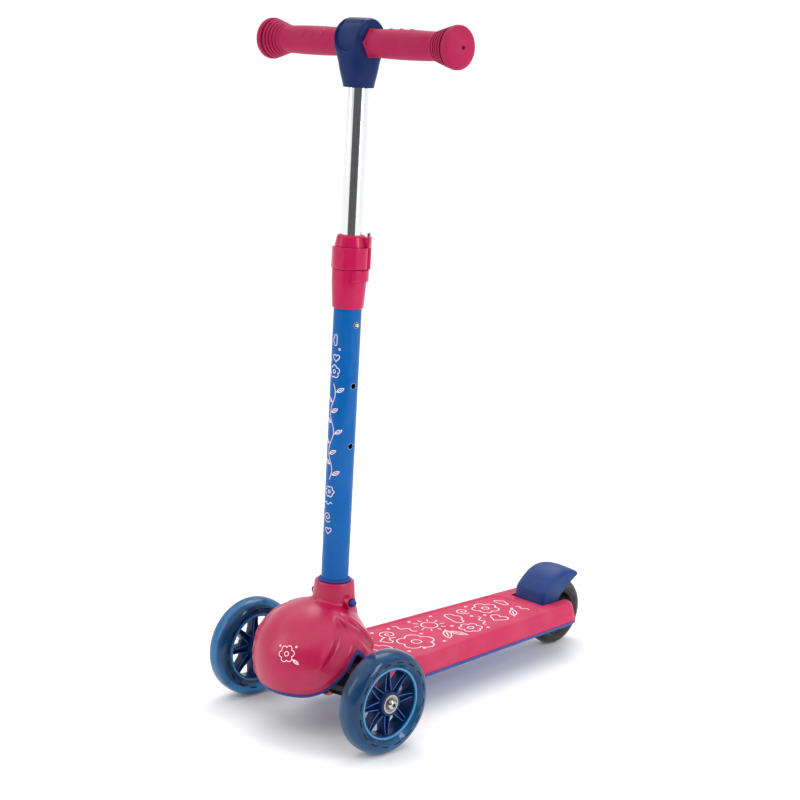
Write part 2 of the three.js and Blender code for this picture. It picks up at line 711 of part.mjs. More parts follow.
// Bracket that holds the truck's pivot under the column, drawn round the pivot's axis
function makeBracket() {
  const earFrom = pivotHubHalf + runGap;
  const earTo = earFrom + earThick;
  const wallTo = bracketWallFrom + bracketWallThick;
  const ears = [[earFrom, earTo], [-earTo, -earFrom]].map(([z0, z1]) => join(
    drum(earR, z0, z1, bossSides, truckPlace),
    block(-earR, earR, 0, wallTo, z0, z1, truckPlace)));
  const wall = block(-bracketHalfW, bracketHalfW, bracketWallFrom, wallTo, -earTo, earTo, truckPlace);
  const wings = block(-bracketWingHalfW, bracketWingHalfW, bracketWallFrom, wallTo,
    -beamMidHalfY, beamMidHalfY, truckPlace);
  const truckSide = block(-hoodHalfWidth, hoodHalfWidth, -hoodHalfLength, bracketWallFrom,
    -hoodHalfLength, hoodHalfLength, truckPlace);
  const stem = drum(lowerTubeR, bracketStemFootZ, socketFootZ - seatGap, tubeSides, columnPlace);
  const heelTopZ = deckTopZ - deckWall - seatGap;
  const heel = block(-bracketHalfW, bracketHalfW, frontAxleY + bracketWallFrom, deckFrontY - seatGap,
    heelTopZ - bracketHeelH, heelTopZ);
  const bolt = drum(pivotBoltR + seatGap, -earTo - overrun, earTo + overrun, smallSides, truckPlace);
  return cut(join(...ears, wall, wings, cut(join(stem, heel), truckSide)), bolt);
}

// Stations of the beam from its middle outwards: place, size between end and middle, squareness
const beamStationShares = [[0.34, 1, 4], [0.8, 0.06, 2.6], [1, 0, 2.2]];

function makeBeam() {
  const tilt = aboutX(leanTilt);
  const mirrored = beamStationShares.map(([place, ...rest]) => [-place, ...rest]).reverse();
  const bar = loft([...mirrored, ...beamStationShares].map(([place, size, power]) => softSection(
    beamEndR + size * (beamMidHalfY - beamEndR), beamEndR + size * (beamMidHalfZ - beamEndR), power,
    bossSides, (y, z) => new THREE.Vector3(place * beamHalfLength, y, z))), tilt);
  const hub = drum(pivotHubR, -pivotHubHalf, pivotHubHalf, tubeSides, tilt);
  const bore = drum(rubberR + seatGap, -pivotHubHalf - overrun, pivotHubHalf + overrun, bossSides, tilt);
  const ends = [-1, 1].map((side) => drum(axleBoltR + seatGap, 0, beamBoreDepth + overrun, smallSides,
    chain(shift(side * (beamHalfLength + overrun), 0, 0), aboutY((-side * Math.PI) / 2))));
  const [windowFrom, windowTo] = [bracketWingHalfW, beamHalfLength - beamBoreDepth - overrun];
  const windows = [[windowFrom, windowTo], [-windowTo, -windowFrom]].map(([x0, x1]) => block(x0, x1,
    -beamMidHalfY - overrun, -beamMidHalfY / 3, -beamMidHalfZ / 2, beamMidHalfZ / 2, tilt));
  return cut(join(bar, hub), bore, ...ends, ...windows);
}

// One wheel's solids about Z: rim with paired spokes, tyre, a bearing and the spacer
function makeRim({ lipR, flangeR: rimR, hubHalfW, rimHalfW, spokePairs }) {
  const innerR = lipR - rimLipWall;
  const spokeHalfW = rimHalfW * spokeWidthShare;
  const hub = pipe(hubR, spacerR + hubRoom, -hubHalfW, hubHalfW, bossSides);
  const band = turned([[innerR, -rimHalfW], [lipR, -rimHalfW], [lipR, -rimFlangeHalfW],
    [rimR, -rimFlangeHalfW], [rimR, rimFlangeHalfW], [lipR, rimFlangeHalfW], [lipR, rimHalfW],
    [innerR, rimHalfW]], wheelSides);
  const [from, to] = [hubR - spokeThick, lipR - rimLipWall / 2];
  const tie = from + (to - from) * tieShare;
  const spokes = [];
  for (let i = 0; i < spokePairs; i += 1) {
    const turn = aboutZ((2 * Math.PI * i) / spokePairs);
    for (const side of [-1, 1]) {
      const lean = Math.atan2(side * (spokeTip - spokeSpread), to - from);
      spokes.push(block(0, (to - from) / Math.cos(lean), -spokeThick / 2, spokeThick / 2,
        -spokeHalfW, spokeHalfW, chain(turn, shift(from, side * spokeSpread, 0), aboutZ(lean))));
    }
    spokes.push(block(tie - spokeThick / 2, tie + spokeThick / 2, -spokeSpread, spokeSpread,
      -spokeHalfW / 2, spokeHalfW / 2, turn));
  }
  const seatFrom = hubHalfW - bearingW - seatGap;
  const seats = [[seatFrom, hubHalfW + overrun], [-hubHalfW - overrun, -seatFrom]].map(([z0, z1]) =>
    drum(bearingR + seatGap / 2, z0, z1, bossSides));
  return cut(join(hub, band, ...spokes), ...seats);
}

function makeTyre({ tyreR, tyreW, lipR, flangeR: rimR, rimHalfW }) {
  const half = tyreW / 2;
  const innerR = lipR + seatGap;
  const shoulderR = lipR + (tyreR - lipR) / 4;
  const outline = [[innerR, -rimHalfW]];
  for (let i = 0; i <= tyreSteps; i += 1) {
    const angle = Math.PI * (i / tyreSteps - 1 / 2);
    const [c, s] = [Math.cos(angle), Math.sin(angle)];
    const reach = (Math.abs(c) ** tyreSquareness + Math.abs(s) ** tyreSquareness) ** (-1 / tyreSquareness);
    outline.push([shoulderR + (tyreR - shoulderR) * reach * c, half * reach * s]);
  }
  const grooveHalfW = rimFlangeHalfW + seatGap;
  outline.push([innerR, rimHalfW], [innerR, grooveHalfW], [rimR + seatGap, grooveHalfW],
    [rimR + seatGap, -grooveHalfW], [innerR, -grooveHalfW]);
  return turned(outline, wheelSides);
}

function makeBearing() {
  const rim = bearingR - seatGap / 2;
  const middle = (bearingBoreR + rim) / 2;
  return turned([[bearingBoreR, 0], [middle, bearingGroove], [rim, 0], [rim, bearingW],
    [bearingBoreR, bearingW]], bossSides);
}

function makeSpacer({ hubHalfW }) {
  const half = hubHalfW - bearingW - seatGap;
  return pipe(spacerR, bearingBoreR, -half, half, bossSides);
}

// Puts one wheel's pieces at x, turned so that its axis runs along X
function addWheel(prefix, wheelSpec, suffix, x, parent, finishes) {
  const wheel = new THREE.Group();
  wheel.position.x = x;
  wheel.rotation.y = Math.PI / 2;
  parent.add(wheel);
  piece(`${prefix}_rim${suffix}`, makeRim(wheelSpec), finishes.rim, wheel);
  piece(`${prefix}_tyre${suffix}`, makeTyre(wheelSpec), finishes.tyre, wheel);
  piece(`${prefix}_spacer${suffix}`, makeSpacer(wheelSpec), steel, wheel);
  const outer = piece(`${prefix}_bearing${suffix}_a`, makeBearing(), steel, wheel);
  outer.position.z = wheelSpec.hubHalfW;
  outer.rotation.x = Math.PI;
  const inner = piece(`${prefix}_bearing${suffix}_b`, makeBearing(), steel, wheel);
  inner.position.z = -wheelSpec.hubHalfW;
}

// A button-headed bolt about Z: shank from z0 to 0, head above
function buttonBolt(shankR, length, headR, headH) {
  const [edge, crown] = headEdgeShares.map((share) => headH * share);
  const [crownR, topR] = headCrownShares.map((share) => headR * share);
  const socketR = headR * socketShares[0];
  const floor = headH * socketShares[1];
  return turned([[0, -length], [shankR, -length], [shankR, 0], [headR, 0], [headR, edge], [crownR, crown],
    [topR, headH], [socketR, headH], [socketR, floor], [0, floor]], bossSides);
}

// A coil of round wire about Z as one unbroken tube, with the least gap between its turns printed
function coilSpring(name, meanR, wireR, halfLength, turns) {
  const rise = (2 * halfLength) / turns;
  console.log(`${name}: least gap between turns ${(rise - 2 * wireR).toFixed(2)} mm`);
  const rings = [];
  for (let i = 0; i <= turns * coilSteps; i += 1) {
    const angle = (2 * Math.PI * i) / coilSteps;
    const z = (rise * i) / coilSteps - halfLength;
    rings.push(softSection(wireR, wireR, 2, wireSides, (out, up) => new THREE.Vector3(
      (meanR + out) * Math.cos(angle), (meanR + out) * Math.sin(angle), z + up)));
  }
  return loft(rings);
}

// Column and its slide
const flatBoreR = lowerTubeBoreR * Math.cos(Math.PI / tubeSides);
const buttonFlangeX = Math.sqrt(flatBoreR ** 2 - buttonFlangeR ** 2) - slideGap;
const buttonPlace = chain(shift(0, 0, buttonZ), zToX);
const settings = [0, 1, 2].map((step) => studZ - step * settingPitch);

function makeLowerTube() {
  const past = lowerTubeR + overrun;
  const holes = settings.map((z) => drum(studHoleR, 0, past, smallSides, chain(shift(0, 0, z), zToX)));
  const release = drum(buttonR + slideGap, -past, past, smallSides, buttonPlace);
  const tube = pipe(lowerTubeR, lowerTubeBoreR, lowerTubeFootZ + socketWall, lowerTubeTopZ, tubeSides);
  return cut(tube, ...holes, release);
}

function makeColumnBush() {
  const bore = lowerTubeR + seatGap;
  const wall = bore + bushWall;
  const top = collarTopZ + bushStandout;
  const sleeve = turned([[bore, socketFootZ], [wall, socketFootZ], [wall, collarTopZ + seatGap],
    [wall + bushFlangeOverhang, collarTopZ + seatGap], [wall + bushFlangeOverhang, collarTopZ + bushFlangeH],
    [bore + bushWall / 2, top], [bore, top]], tubeSides);
  return cut(sleeve, drum(buttonR + slideGap, -wall - overrun, wall + overrun, smallSides, buttonPlace));
}

function makeButton() {
  const flangeFace = buttonFlangeX;
  return turned([[0, flangeFace - buttonFlangeW], [buttonFlangeR, flangeFace - buttonFlangeW],
    [buttonFlangeR, flangeFace], [buttonR, flangeFace], [buttonR, buttonReach - buttonR * tipShares[0]],
    [buttonR * tipShares[1], buttonReach], [0, buttonReach]], smallSides);
}

const leverPivot = new THREE.Vector2(leverPivotR, 0).rotateAround(new THREE.Vector2(), rad(leverPivotDeg));
const atPivot = shift(leverPivot.x, leverPivot.y, 0);

// A slice of a round bar about Z, from one angle to another
function sector(r, fromDeg, toDeg, z0, z1) {
  const shape = new THREE.Shape();
  shape.moveTo(0, 0);
  shape.lineTo(r * Math.cos(rad(fromDeg)), r * Math.sin(rad(fromDeg)));
  shape.absarc(0, 0, r, rad(fromDeg), rad(toDeg), false);
  shape.closePath();
  return solidOf(new THREE.ExtrudeGeometry(shape, {
    depth: z1 - z0, bevelEnabled: false, curveSegments: bossSides / 2,
  }), shift(0, 0, z0));
}

function makeClampBody() {
  const bore = lowerTubeR + seatGap;
  const lip = upperTubeR + lipGap;
  const shoulderZ = lowerTubeTopZ + bushFlangeH + 2 * seatGap;
  const [foot, top] = [bandFootZ - seatGap, bandTopZ + seatGap];
  const outer = turned([[0, clampFootZ], [clampFootR - clampFootEdge / 2, clampFootZ],
    [clampFootR, clampFootZ + clampFootEdge], [sleeveR, sleeveTopZ], [sleeveR, foot], [bandSeatR, foot],
    [bandSeatR, top], [ringR, top], [ringTopR, clampTopZ - clampFootEdge],
    [ringTopR - clampFootEdge, clampTopZ], [0, clampTopZ]], tubeSides);
  const lugs = join(
    sector(lowerLugR, leverPivotDeg - lowerLugSpanDeg, leverPivotDeg + lugTailDeg, sleeveTopZ, foot),
    sector(lugR, leverPivotDeg - lugSpanDeg, leverPivotDeg + lugTailDeg, top, clampTopZ - clampFootEdge));
  const hollow = turned([[0, clampFootZ - overrun], [bore, clampFootZ - overrun], [bore, shoulderZ],
    [lip, shoulderZ], [lip, clampTopZ + overrun], [0, clampTopZ + overrun]], tubeSides);
  const eyeRoom = drum(leverEyeR + runGap, foot, top, bossSides, atPivot);
  const pinHole = drum(leverPinR + seatGap, sleeveTopZ - overrun, clampTopZ + overrun, smallSides, atPivot);
  const slit = block(-clampSlitW / 2, clampSlitW / 2, 0, ringR + overrun, sleeveTopZ, clampTopZ + overrun);
  return cut(join(outer, lugs), hollow, eyeRoom, pinHole, slit);
}

// The quick lever: a band round the front of the clamp with an eye at one end and a lifted tip
function makeLever() {
  const inner = bandSeatR + runGap;
  const outer = inner + leverThick;
  const eyeDeg = THREE.MathUtils.radToDeg(leverEyeR / leverPivotR);
  const [from, to] = [rad(leverPivotDeg - eyeDeg / 2), rad(leverPivotDeg - leverSweepDeg)];
  const tip = to - rad(leverTipDeg);
  const shape = new THREE.Shape();
  shape.absarc(0, 0, outer, from, to, true);
  shape.lineTo((outer + leverTipLift) * Math.cos(tip), (outer + leverTipLift) * Math.sin(tip));
  shape.lineTo((inner + leverTipLift) * Math.cos(tip), (inner + leverTipLift) * Math.sin(tip));
  shape.absarc(0, 0, inner, to, from, false);
  shape.closePath();
  const band = solidOf(new THREE.ExtrudeGeometry(shape, {
    depth: bandTopZ - bandFootZ, bevelEnabled: false, curveSegments: tubeSides,
  }), shift(0, 0, bandFootZ));
  const eye = drum(leverEyeR, bandFootZ, bandTopZ, bossSides, atPivot);
  const pinHole = drum(leverPinR + runGap, bandFootZ - overrun, bandTopZ + overrun, smallSides, atPivot);
  return cut(join(band, eye), pinHole);
}

// Levels of the crown: height as a share of its half below or above the bar, half sizes as
// shares of its own, squareness, and how much of the forward step it has
const crownLevelShares = [
  [-1, 0, 0, 2, 0],
  [-0.97, 0.05, 0.05, 2, 0],
  [-0.67, 0.55, 0.42, 2.4, 0.4],
  [-0.35, 0.85, 0.75, 3, 0.8],
  [0, 1, 1, 4.5, 1],
  [0.33, 1, 0.88, 5, 1],
  [0.63, 1, 0.2, 5, 0.9],
  [0.81, 0.9, -0.6, 4.5, 0.8],
  [0.94, 0.6, -1.6, 4, 0.8],
  [1, 0, -2.5, 3, 0.8],
];

function makeCrown() {
  const footR = crownFootR;
  const body = loft(crownLevelShares.map(([rise, growX, growY, power, forward]) => {
    const z = barZ + rise * (rise < 0 ? barZ - crownFootZ : crownTop);
    const halfX = footR + growX * (crownHalfX - footR);
    const halfY = footR + growY * (crownHalfY - footR);
    return softSection(halfX, halfY, power, tubeSides,
      (x, y) => new THREE.Vector3(x, y - forward * crownForward, z));
  }));
  const barHole = drum(barR + seatGap, -crownHalfX - overrun, crownHalfX + overrun, tubeSides,
    chain(shift(0, 0, barZ), zToX));
  const tubeHole = drum(upperTubeR + seatGap, crownFootZ - overrun, barZ, tubeSides);
  const faceY = -crownHalfY - crownForward;
  const panel = loft([faceY - overrun, faceY + crownPanelDepth].map((y) => softSection(
    crownPanelHalfW, crownPanelHalfH, crownPanelPower, tubeSides,
    (x, z) => new THREE.Vector3(x, y, barZ + crownPanelLift + z))));
  return cut(body, barHole, tubeHole, panel);
}

// The grip's section from the crown outwards: swelling body, cone ribs, flange, groove and cap
function gripOutline() {
  const outline = [[gripBoreR, gripStart], [gripR, gripStart]];
  const steps = 3;
  const swellFrom = gripStart + hexFlangeW;
  for (let i = 0; i <= steps; i += 1) {
    const share = i / steps;
    const swell = gripSwell * Math.sin(Math.PI * share);
    outline.push([gripR + swell, swellFrom + (gripBodyEnd - swellFrom) * share]);
  }
  for (let i = 0; i < ribCount; i += 1) {
    const x = gripBodyEnd + ribPitch * i;
    const top = ribRootR + ribRise * ((i + 1) / ribCount);
    outline.push([ribRootR - gripSwell / 2, x + ribPitch / 5], [top, x + (4 * ribPitch) / 5]);
  }
  outline.push([ribRootR, flangeEnd - flangeW], [flangeR, flangeEnd - flangeW + gripSwell],
    [flangeR, flangeEnd - gripSwell], [flangeR - gripSwell, flangeEnd],
    [gripGrooveR + gripGrooveW, flangeEnd], [gripGrooveR, flangeEnd - gripGrooveW]);
  const capR = gripGrooveR - gripGrooveW / 2;
  for (let i = 0; i <= steps; i += 1) {
    const angle = (Math.PI / 2) * (i / steps);
    const r = capHoleR + (capR - capHoleR) * Math.cos(angle);
    outline.push([r, flangeEnd + gripCapDome * Math.sin(angle)]);
  }
  outline.push([capHoleR, flangeEnd - flangeW / 2], [gripBoreR, flangeEnd - flangeW / 2]);
  return outline;
}

function makeGrip() {
  const body = turned(gripOutline(), gripSides);
  const hex = cut(drum(hexFlangeR, gripStart, gripStart + hexFlangeW, hexSides),
    drum(gripBoreR, gripStart - overrun, gripStart + hexFlangeW + overrun, gripSides));
  return join(body, hex);
}

// Foot brake
// The fender's side view at x, its top brought down by a crown and, at the edges, by a round
function fenderSection(x, halfW, inset) {
  const at = ([shareY, shareZ], drop = 0) => {
    const reach = rearWheelR - drop / Math.hypot(shareY, shareZ);
    return new THREE.Vector3(x, rearAxleY + shareY * reach, rearWheelR + shareZ * reach);
  };
  const share = Math.abs(x) / halfW;
  const round = inset + fenderEdge * (1 - Math.sqrt(1 - share ** fenderRoundPower));
  const curve = (from, control, to, steps, lowFrom, lowTo) => Array.from({ length: steps }, (_, i) => {
    const t = i / steps;
    const mix = [0, 1].map((k) => from[k] * (1 - t) ** 2 + 2 * control[k] * t * (1 - t) + to[k] * t ** 2);
    return at(mix, lowFrom + (lowTo - lowFrom) * t);
  });
  const lug = Array.from({ length: lugSteps + 1 }, (_, i) => {
    const angle = Math.PI * (1 + i / lugSteps);
    const [out, up] = [brakeLugR * Math.cos(angle), brakeLugR * Math.sin(angle)];
    return new THREE.Vector3(x, brakePinY + out, brakePinZ + up);
  });
  const crown = (part) => round + part * fenderCrown * share ** 2;
  const [breastLow, crestLow, tailLow] = fenderCrownShares.map(crown);
  return [...lug, at(heelShares),
    ...curve(skirtFootShares, skirtShares, lipShares, cornerSteps, inset, inset), at(lipShares, inset),
    ...curve(tailShares, backShares, crestShares, cornerSteps, tailLow, crestLow),
    ...curve(crestShares, shoulderShares, breastShares, cornerSteps + 2, crestLow, breastLow),
    at(breastShares, breastLow), at(footFrontShares, inset)];
}

const fenderBody = (halfW, inset) =>
  loft(fenderRowShares.map((share) => fenderSection(share * halfW, fenderHalfW, inset)));

function makeFender() {
  const outer = fenderBody(fenderHalfW, 0);
  const room = fenderBody(fenderHalfW - fenderWall, fenderWall);
  const below = block(-fenderHalfW + fenderWall, fenderHalfW - fenderWall, brakePinY - brakeLugR * 2,
    rearAxleY + rearWheelR, trayFootZ, brakePinZ + brakeLugR + fenderWall);
  const padTopR = (rearWheelR + brakePadGap + brakePadThick + seatGap) / Math.cos(Math.PI / wheelSides);
  const ribHalf = rearWheelR * brakeRibShare;
  const ribTopZ = rearWheelR * (1 + crestShares[1]);
  const ribs = join(...[-brakeRibX, brakeRibX].map((x) => block(x - brakeRibThick / 2, x + brakeRibThick / 2,
    rearAxleY - ribHalf, rearAxleY + ribHalf, rearWheelR, ribTopZ))).intersect(outer);
  const padRoom = drum(padTopR, -fenderHalfW, fenderHalfW, wheelSides, rearAxlePlace);
  const past = fenderHalfW + overrun;
  const pinHole = drum(brakePinR + runGap, -past, past, smallSides, brakePinPlace);
  return cut(join(cut(outer, room, below), cut(ribs, padRoom)), pinHole);
}

function makeBrakePad() {
  const [inner, outer] = [rearWheelR + brakePadGap, rearWheelR + brakePadGap + brakePadThick];
  const [from, to] = [rad(brakePadFromDeg), rad(brakePadToDeg)];
  const shape = new THREE.Shape();
  shape.absarc(rearAxleY, rearWheelR, outer, from, to, false);
  shape.absarc(rearAxleY, rearWheelR, inner, to, from, true);
  shape.closePath();
  return sidePrism(shape, brakePadHalfW, padSteps);
}

function makeGuideBush() {
  const [bore, wall, flange] = [upperTubeR + slideGap, lowerTubeBoreR - seatGap, lowerTubeR - seatGap];
  const [foot, seat] = [lowerTubeTopZ - guideBushLength, lowerTubeTopZ + seatGap];
  return turned([[bore, foot], [wall, foot], [wall, seat], [flange, seat], [flange, seat + bushFlangeH],
    [bore, seat + bushFlangeH]], tubeSides);
}

// Root pieces
piece('deck_shell', makeDeckShell(), pinkShell);
piece('base_tray', makeTray(), blueShell);
piece('front_hood', makeHood(), pinkShell);
piece('nose_pan', makeNosePan(), blueShell);
piece('truck_bracket', makeBracket(), blackNylon);
piece('lower_tube', makeLowerTube(), bluePaint, column);
piece('column_bush', makeColumnBush(), navyShell, column);
piece('clamp_body', makeClampBody(), pinkGloss, column);
piece('guide_bush', makeGuideBush(), blackNylon, column);
const clampPin = drum(leverPinR, sleeveTopZ, clampTopZ + leverPinStandout, smallSides, atPivot);
piece('clamp_pin', clampPin, steel, column);
piece('clamp_lever', makeLever(), pinkGloss, column);

for (const [side, name] of [[1, 'left'], [-1, 'right']]) {
  const button = piece(`release_button_${name}`, makeButton(), navyShell, column);
  button.position.z = buttonZ;
  button.rotation.y = (side * Math.PI) / 2;
}
const springHalf = buttonFlangeX - buttonFlangeW - releaseSpringWireR - seatGap;
const releaseCoil = coilSpring('release_spring', releaseSpringR, releaseSpringWireR, springHalf,
  releaseSpringTurns);
const releaseSpring = piece('release_spring', releaseCoil, steel, column);
releaseSpring.position.z = buttonZ;
releaseSpring.rotation.y = Math.PI / 2;

// Height tube with its bush, snap stud and leaf
const stemBase = upperTubeBoreR - 2 * leafThick;
const slideBushR = lowerTubeBoreR - slideGap;
const studHole = (reach) => drum(studHoleR, 0, reach, smallSides, chain(shift(0, 0, studZ), zToX));
const heightTube = pipe(upperTubeR, upperTubeBoreR, upperTubeFootZ, barZ - barR - runGap, tubeSides);
piece('upper_tube', cut(heightTube, studHole(upperTubeR + overrun)), chrome, column);
const slideBush = pipe(slideBushR, upperTubeR + seatGap, upperTubeFootZ, upperTubeFootZ + slideBushLength,
  tubeSides);
piece('slide_bush', cut(slideBush, studHole(lowerTubeR)), blackNylon, column);
const studEnd = lowerTubeR + studStandout;
const stud = piece('snap_stud', turned([[0, stemBase], [studR, stemBase], [studR, lowerTubeR],
  [studR * tipShares[1], studEnd], [0, studEnd]], smallSides), brass, column);
stud.position.z = studZ;
stud.rotation.y = Math.PI / 2;

// The leaf: two legs along the tube's wall that close to a bend above, as a long narrow arch
function makeLeaf() {
  const footX = stemBase - seatGap;
  const footZ = studZ - 2 * studR;
  const kneeZ = studZ + 2 * studR;
  const topZ = studZ + leafLength;
  const outside = [[footX, footZ], [footX, kneeZ], [leafHalfGap, topZ]];
  const inside = [[footX - leafThick, footZ], [footX - leafThick, kneeZ],
    [leafHalfGap - leafThick, topZ - 2 * leafThick]];
  const mirrored = (points) => points.map(([x, z]) => [-x, z]).reverse();
  const shape = new THREE.Shape([...outside, ...mirrored(outside), ...mirrored(inside).reverse(),
    ...inside.reverse()].map(([x, z]) => new THREE.Vector2(x, z)));
  const strip = new THREE.ExtrudeGeometry(shape, { depth: 2 * leafHalfW, bevelEnabled: false });
  return solidOf(strip, chain(shift(0, leafHalfW, 0), aboutX(Math.PI / 2)));
}

piece('snap_leaf', makeLeaf(), steel, column);
piece('bar_crown', makeCrown(), navyShell, column);
piece('bar_tube', pipe(barR, barR - barWall, -flangeEnd + flangeW, flangeEnd - flangeW, tubeSides,
  chain(shift(0, 0, barZ), zToX)), steel, column);
for (const [side, name] of [[1, 'left'], [-1, 'right']]) {
  const grip = piece(`grip_${name}`, makeGrip(), pinkRubber, column);
  grip.position.z = barZ;
  grip.rotation.y = (side * Math.PI) / 2;
}

// Truck: beam, bushings, pivot bolt, axle bolts and wheels
piece('truck_beam', makeBeam(), blackNylon, truck);
piece('pivot_rubber', pipe(rubberR, pivotBoltR + seatGap, -pivotHubHalf, pivotHubHalf, bossSides,
  aboutX(leanTilt)), redRubber, truck);
const stopTravel = (stopX + stopR) * Math.sin(rad(leanRangeDeg)) + runGap;
for (const [side, name] of [[1, 'left'], [-1, 'right']]) {
  piece(`lean_stop_${name}`, drum(stopR, beamMidHalfY + stopTravel, bracketWallFrom - seatGap, bossSides,
    chain(aboutX(leanTilt), shift(side * stopX, 0, 0), aboutX(-Math.PI / 2))), redRubber, truck);
  const bolt = piece(`axle_bolt_${name}`, buttonBolt(axleBoltR, frontTyreW + beamBoreDepth * axleBoltShare,
    boltHeadR, boltHeadH), steel, truck);
  bolt.position.x = side * (track / 2 + frontHubHalfW + runGap);
  bolt.rotation.y = (side * Math.PI) / 2;
  const shoulder = piece(`axle_washer_${name}`, pipe(axleBoltR + washerW, axleBoltR + seatGap,
    beamHalfLength + seatGap, track / 2 - frontHubHalfW - runGap, bossSides), steel, truck);
  shoulder.rotation.y = (side * Math.PI) / 2;
  addWheel('front', frontWheel, `_${name}`, (side * track) / 2, truck, { rim: wheelBlue, tyre: tyreBlue });
}
const earEnd = pivotHubHalf + runGap + earThick;
const headSeat = -earEnd - seatGap;
const headEnd = headSeat - pivotHeadH;
const boltEnd = earEnd + nutH + pivotStandout;
const pivotBolt = piece('pivot_bolt', turned([[0, headEnd], [boltHeadR, headEnd], [boltHeadR, headSeat],
  [pivotBoltR, headSeat], [pivotBoltR, boltEnd], [0, boltEnd]], smallSides), steel, truck);
pivotBolt.rotation.x = leanTilt;
const pivotNut = piece('pivot_nut', cut(
  drum(nutR + pivotBoltR / 2, earEnd + seatGap, earEnd + seatGap + nutH, hexSides),
  drum(pivotBoltR + seatGap, earEnd - overrun, boltEnd + overrun, smallSides)), steel, truck);
pivotNut.rotation.x = leanTilt;
const pivotCap = piece('pivot_cap', cut(
  drum(pivotCapR, headEnd - seatGap - pivotCapH, headSeat, tubeSides),
  drum(boltHeadR + seatGap, headEnd - seatGap, headSeat + overrun, tubeSides)), redRubber, truck);
pivotCap.rotation.x = leanTilt;

// Rear wheel, axle and brake
const rear = new THREE.Group();
rear.position.set(0, rearAxleY, rearWheelR);
scooter.add(rear);
addWheel('rear', rearWheel, '', 0, rear, { rim: blackNylon, tyre: tyreGrey });
const forkOuterX = forkInnerX + forkThick;
const rearBolt = piece('rear_axle_bolt', buttonBolt(axleBoltR, 2 * (forkOuterX + seatGap) + nutH,
  boltHeadR * rearHeadShare, boltHeadH * rearHeadHeightShare), steel, rear);
rearBolt.position.x = forkOuterX + seatGap;
rearBolt.rotation.y = Math.PI / 2;
const nutSeat = forkOuterX + seatGap;
const rearNut = piece('rear_axle_nut', cut(
  drum(nutR, nutSeat, nutSeat + nutH * rearHeadHeightShare, hexSides),
  drum(axleBoltR + seatGap, 0, nutSeat + nutH + overrun, smallSides)), steel, rear);
rearNut.rotation.y = -Math.PI / 2;
for (const [side, name] of [[1, 'left'], [-1, 'right']]) {
  const spacer = piece(`rear_spacer_${name}`, pipe(axleBoltR + washerW, axleBoltR + seatGap,
    rearHubHalfW + runGap, forkInnerX - seatGap, bossSides), steel, rear);
  spacer.rotation.y = (side * Math.PI) / 2;
}
piece('brake_fender', makeFender(), blueShell);
piece('brake_pad', makeBrakePad(), steel);
piece('brake_pin', drum(brakePinR, -fenderHalfW, fenderHalfW, smallSides, brakePinPlace), steel);
const brakeCoil = coilSpring('brake_spring', brakePinR + seatGap + brakeSpringWireR, brakeSpringWireR,
  brakeSpringHalfW, brakeSpringTurns);
const brakeSpring = piece('brake_spring', brakeCoil, steel);
brakeSpring.position.set(0, brakePinY, brakePinZ);
brakeSpring.rotation.y = Math.PI / 2;

export default scooter;
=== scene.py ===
"""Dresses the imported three-wheel child's scooter and sets the camera, the light and the floor.

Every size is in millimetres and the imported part's own frame: +Z up, -Y the way the scooter rides,
+X the rider's left, the origin on the floor. A mesh is turned into metres as it is made.
"""

import logging
import math
from contextlib import contextmanager
from dataclasses import dataclass
from enum import Enum
from typing import Callable, Iterator, Sequence

import bmesh
import bpy
import numpy as np
from mathutils import Matrix, Vector


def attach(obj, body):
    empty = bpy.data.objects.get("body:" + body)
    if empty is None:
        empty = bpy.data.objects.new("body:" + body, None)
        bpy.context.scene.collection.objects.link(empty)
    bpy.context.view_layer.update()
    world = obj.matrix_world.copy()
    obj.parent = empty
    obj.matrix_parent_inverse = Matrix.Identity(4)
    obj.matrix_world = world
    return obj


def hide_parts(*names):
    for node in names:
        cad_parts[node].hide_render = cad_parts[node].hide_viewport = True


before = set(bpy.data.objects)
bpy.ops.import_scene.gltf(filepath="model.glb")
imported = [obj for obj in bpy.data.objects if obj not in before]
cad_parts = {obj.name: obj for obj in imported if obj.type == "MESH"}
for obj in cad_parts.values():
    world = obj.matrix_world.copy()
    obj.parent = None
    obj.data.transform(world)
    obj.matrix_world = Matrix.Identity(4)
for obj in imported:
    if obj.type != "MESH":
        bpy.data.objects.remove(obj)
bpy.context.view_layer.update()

MM = 0.001
Array = np.ndarray
Piece = bpy.types.Object
Tree = bpy.types.NodeTree
Node = bpy.types.Node
Socket = bpy.types.NodeSocket
log = logging.getLogger("scooter")


class Body(Enum):
    """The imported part's moving groups, by the names in its record."""

    FRAME = "frame"
    TRUCK = "truck"
    WHEEL_LEFT = "wheel_left"
    WHEEL_RIGHT = "wheel_right"
    WHEEL_REAR = "wheel_rear"
    BRAKE = "brake"
    MAST = "mast"
    STUD = "stud"
    LEVER = "lever"
    BUTTON_LEFT = "button_left"
    BUTTON_RIGHT = "button_right"


class Side(Enum):
    """The two sides of the scooter, with the sign of X on each."""

    LEFT = 1
    RIGHT = -1

    @property
    def word(self) -> str:
        """The side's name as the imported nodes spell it."""
        return self.name.lower()


# Placing

def shift(*way: float) -> Array:
    """A 4x4 move by x, y and z."""
    return np.block([[np.eye(3), np.array(way, float)[:, None]], [0, 0, 0, 1]])


def turn(axis: str, degrees: float) -> Array:
    """A 4x4 turn about the X, Y or Z axis through the origin."""
    return np.array(Matrix.Rotation(math.radians(degrees), 4, axis))


def placed(points: Array, place: Array) -> Array:
    """The points carried by a 4x4 place, whatever the array's leading shape."""
    return points @ place[:3, :3].T + place[:3, 3]


def xyz(*axes: Array | float) -> Array:
    """Coordinates spread to one shape and joined along a new last axis."""
    return np.stack(np.broadcast_arrays(*axes), -1)


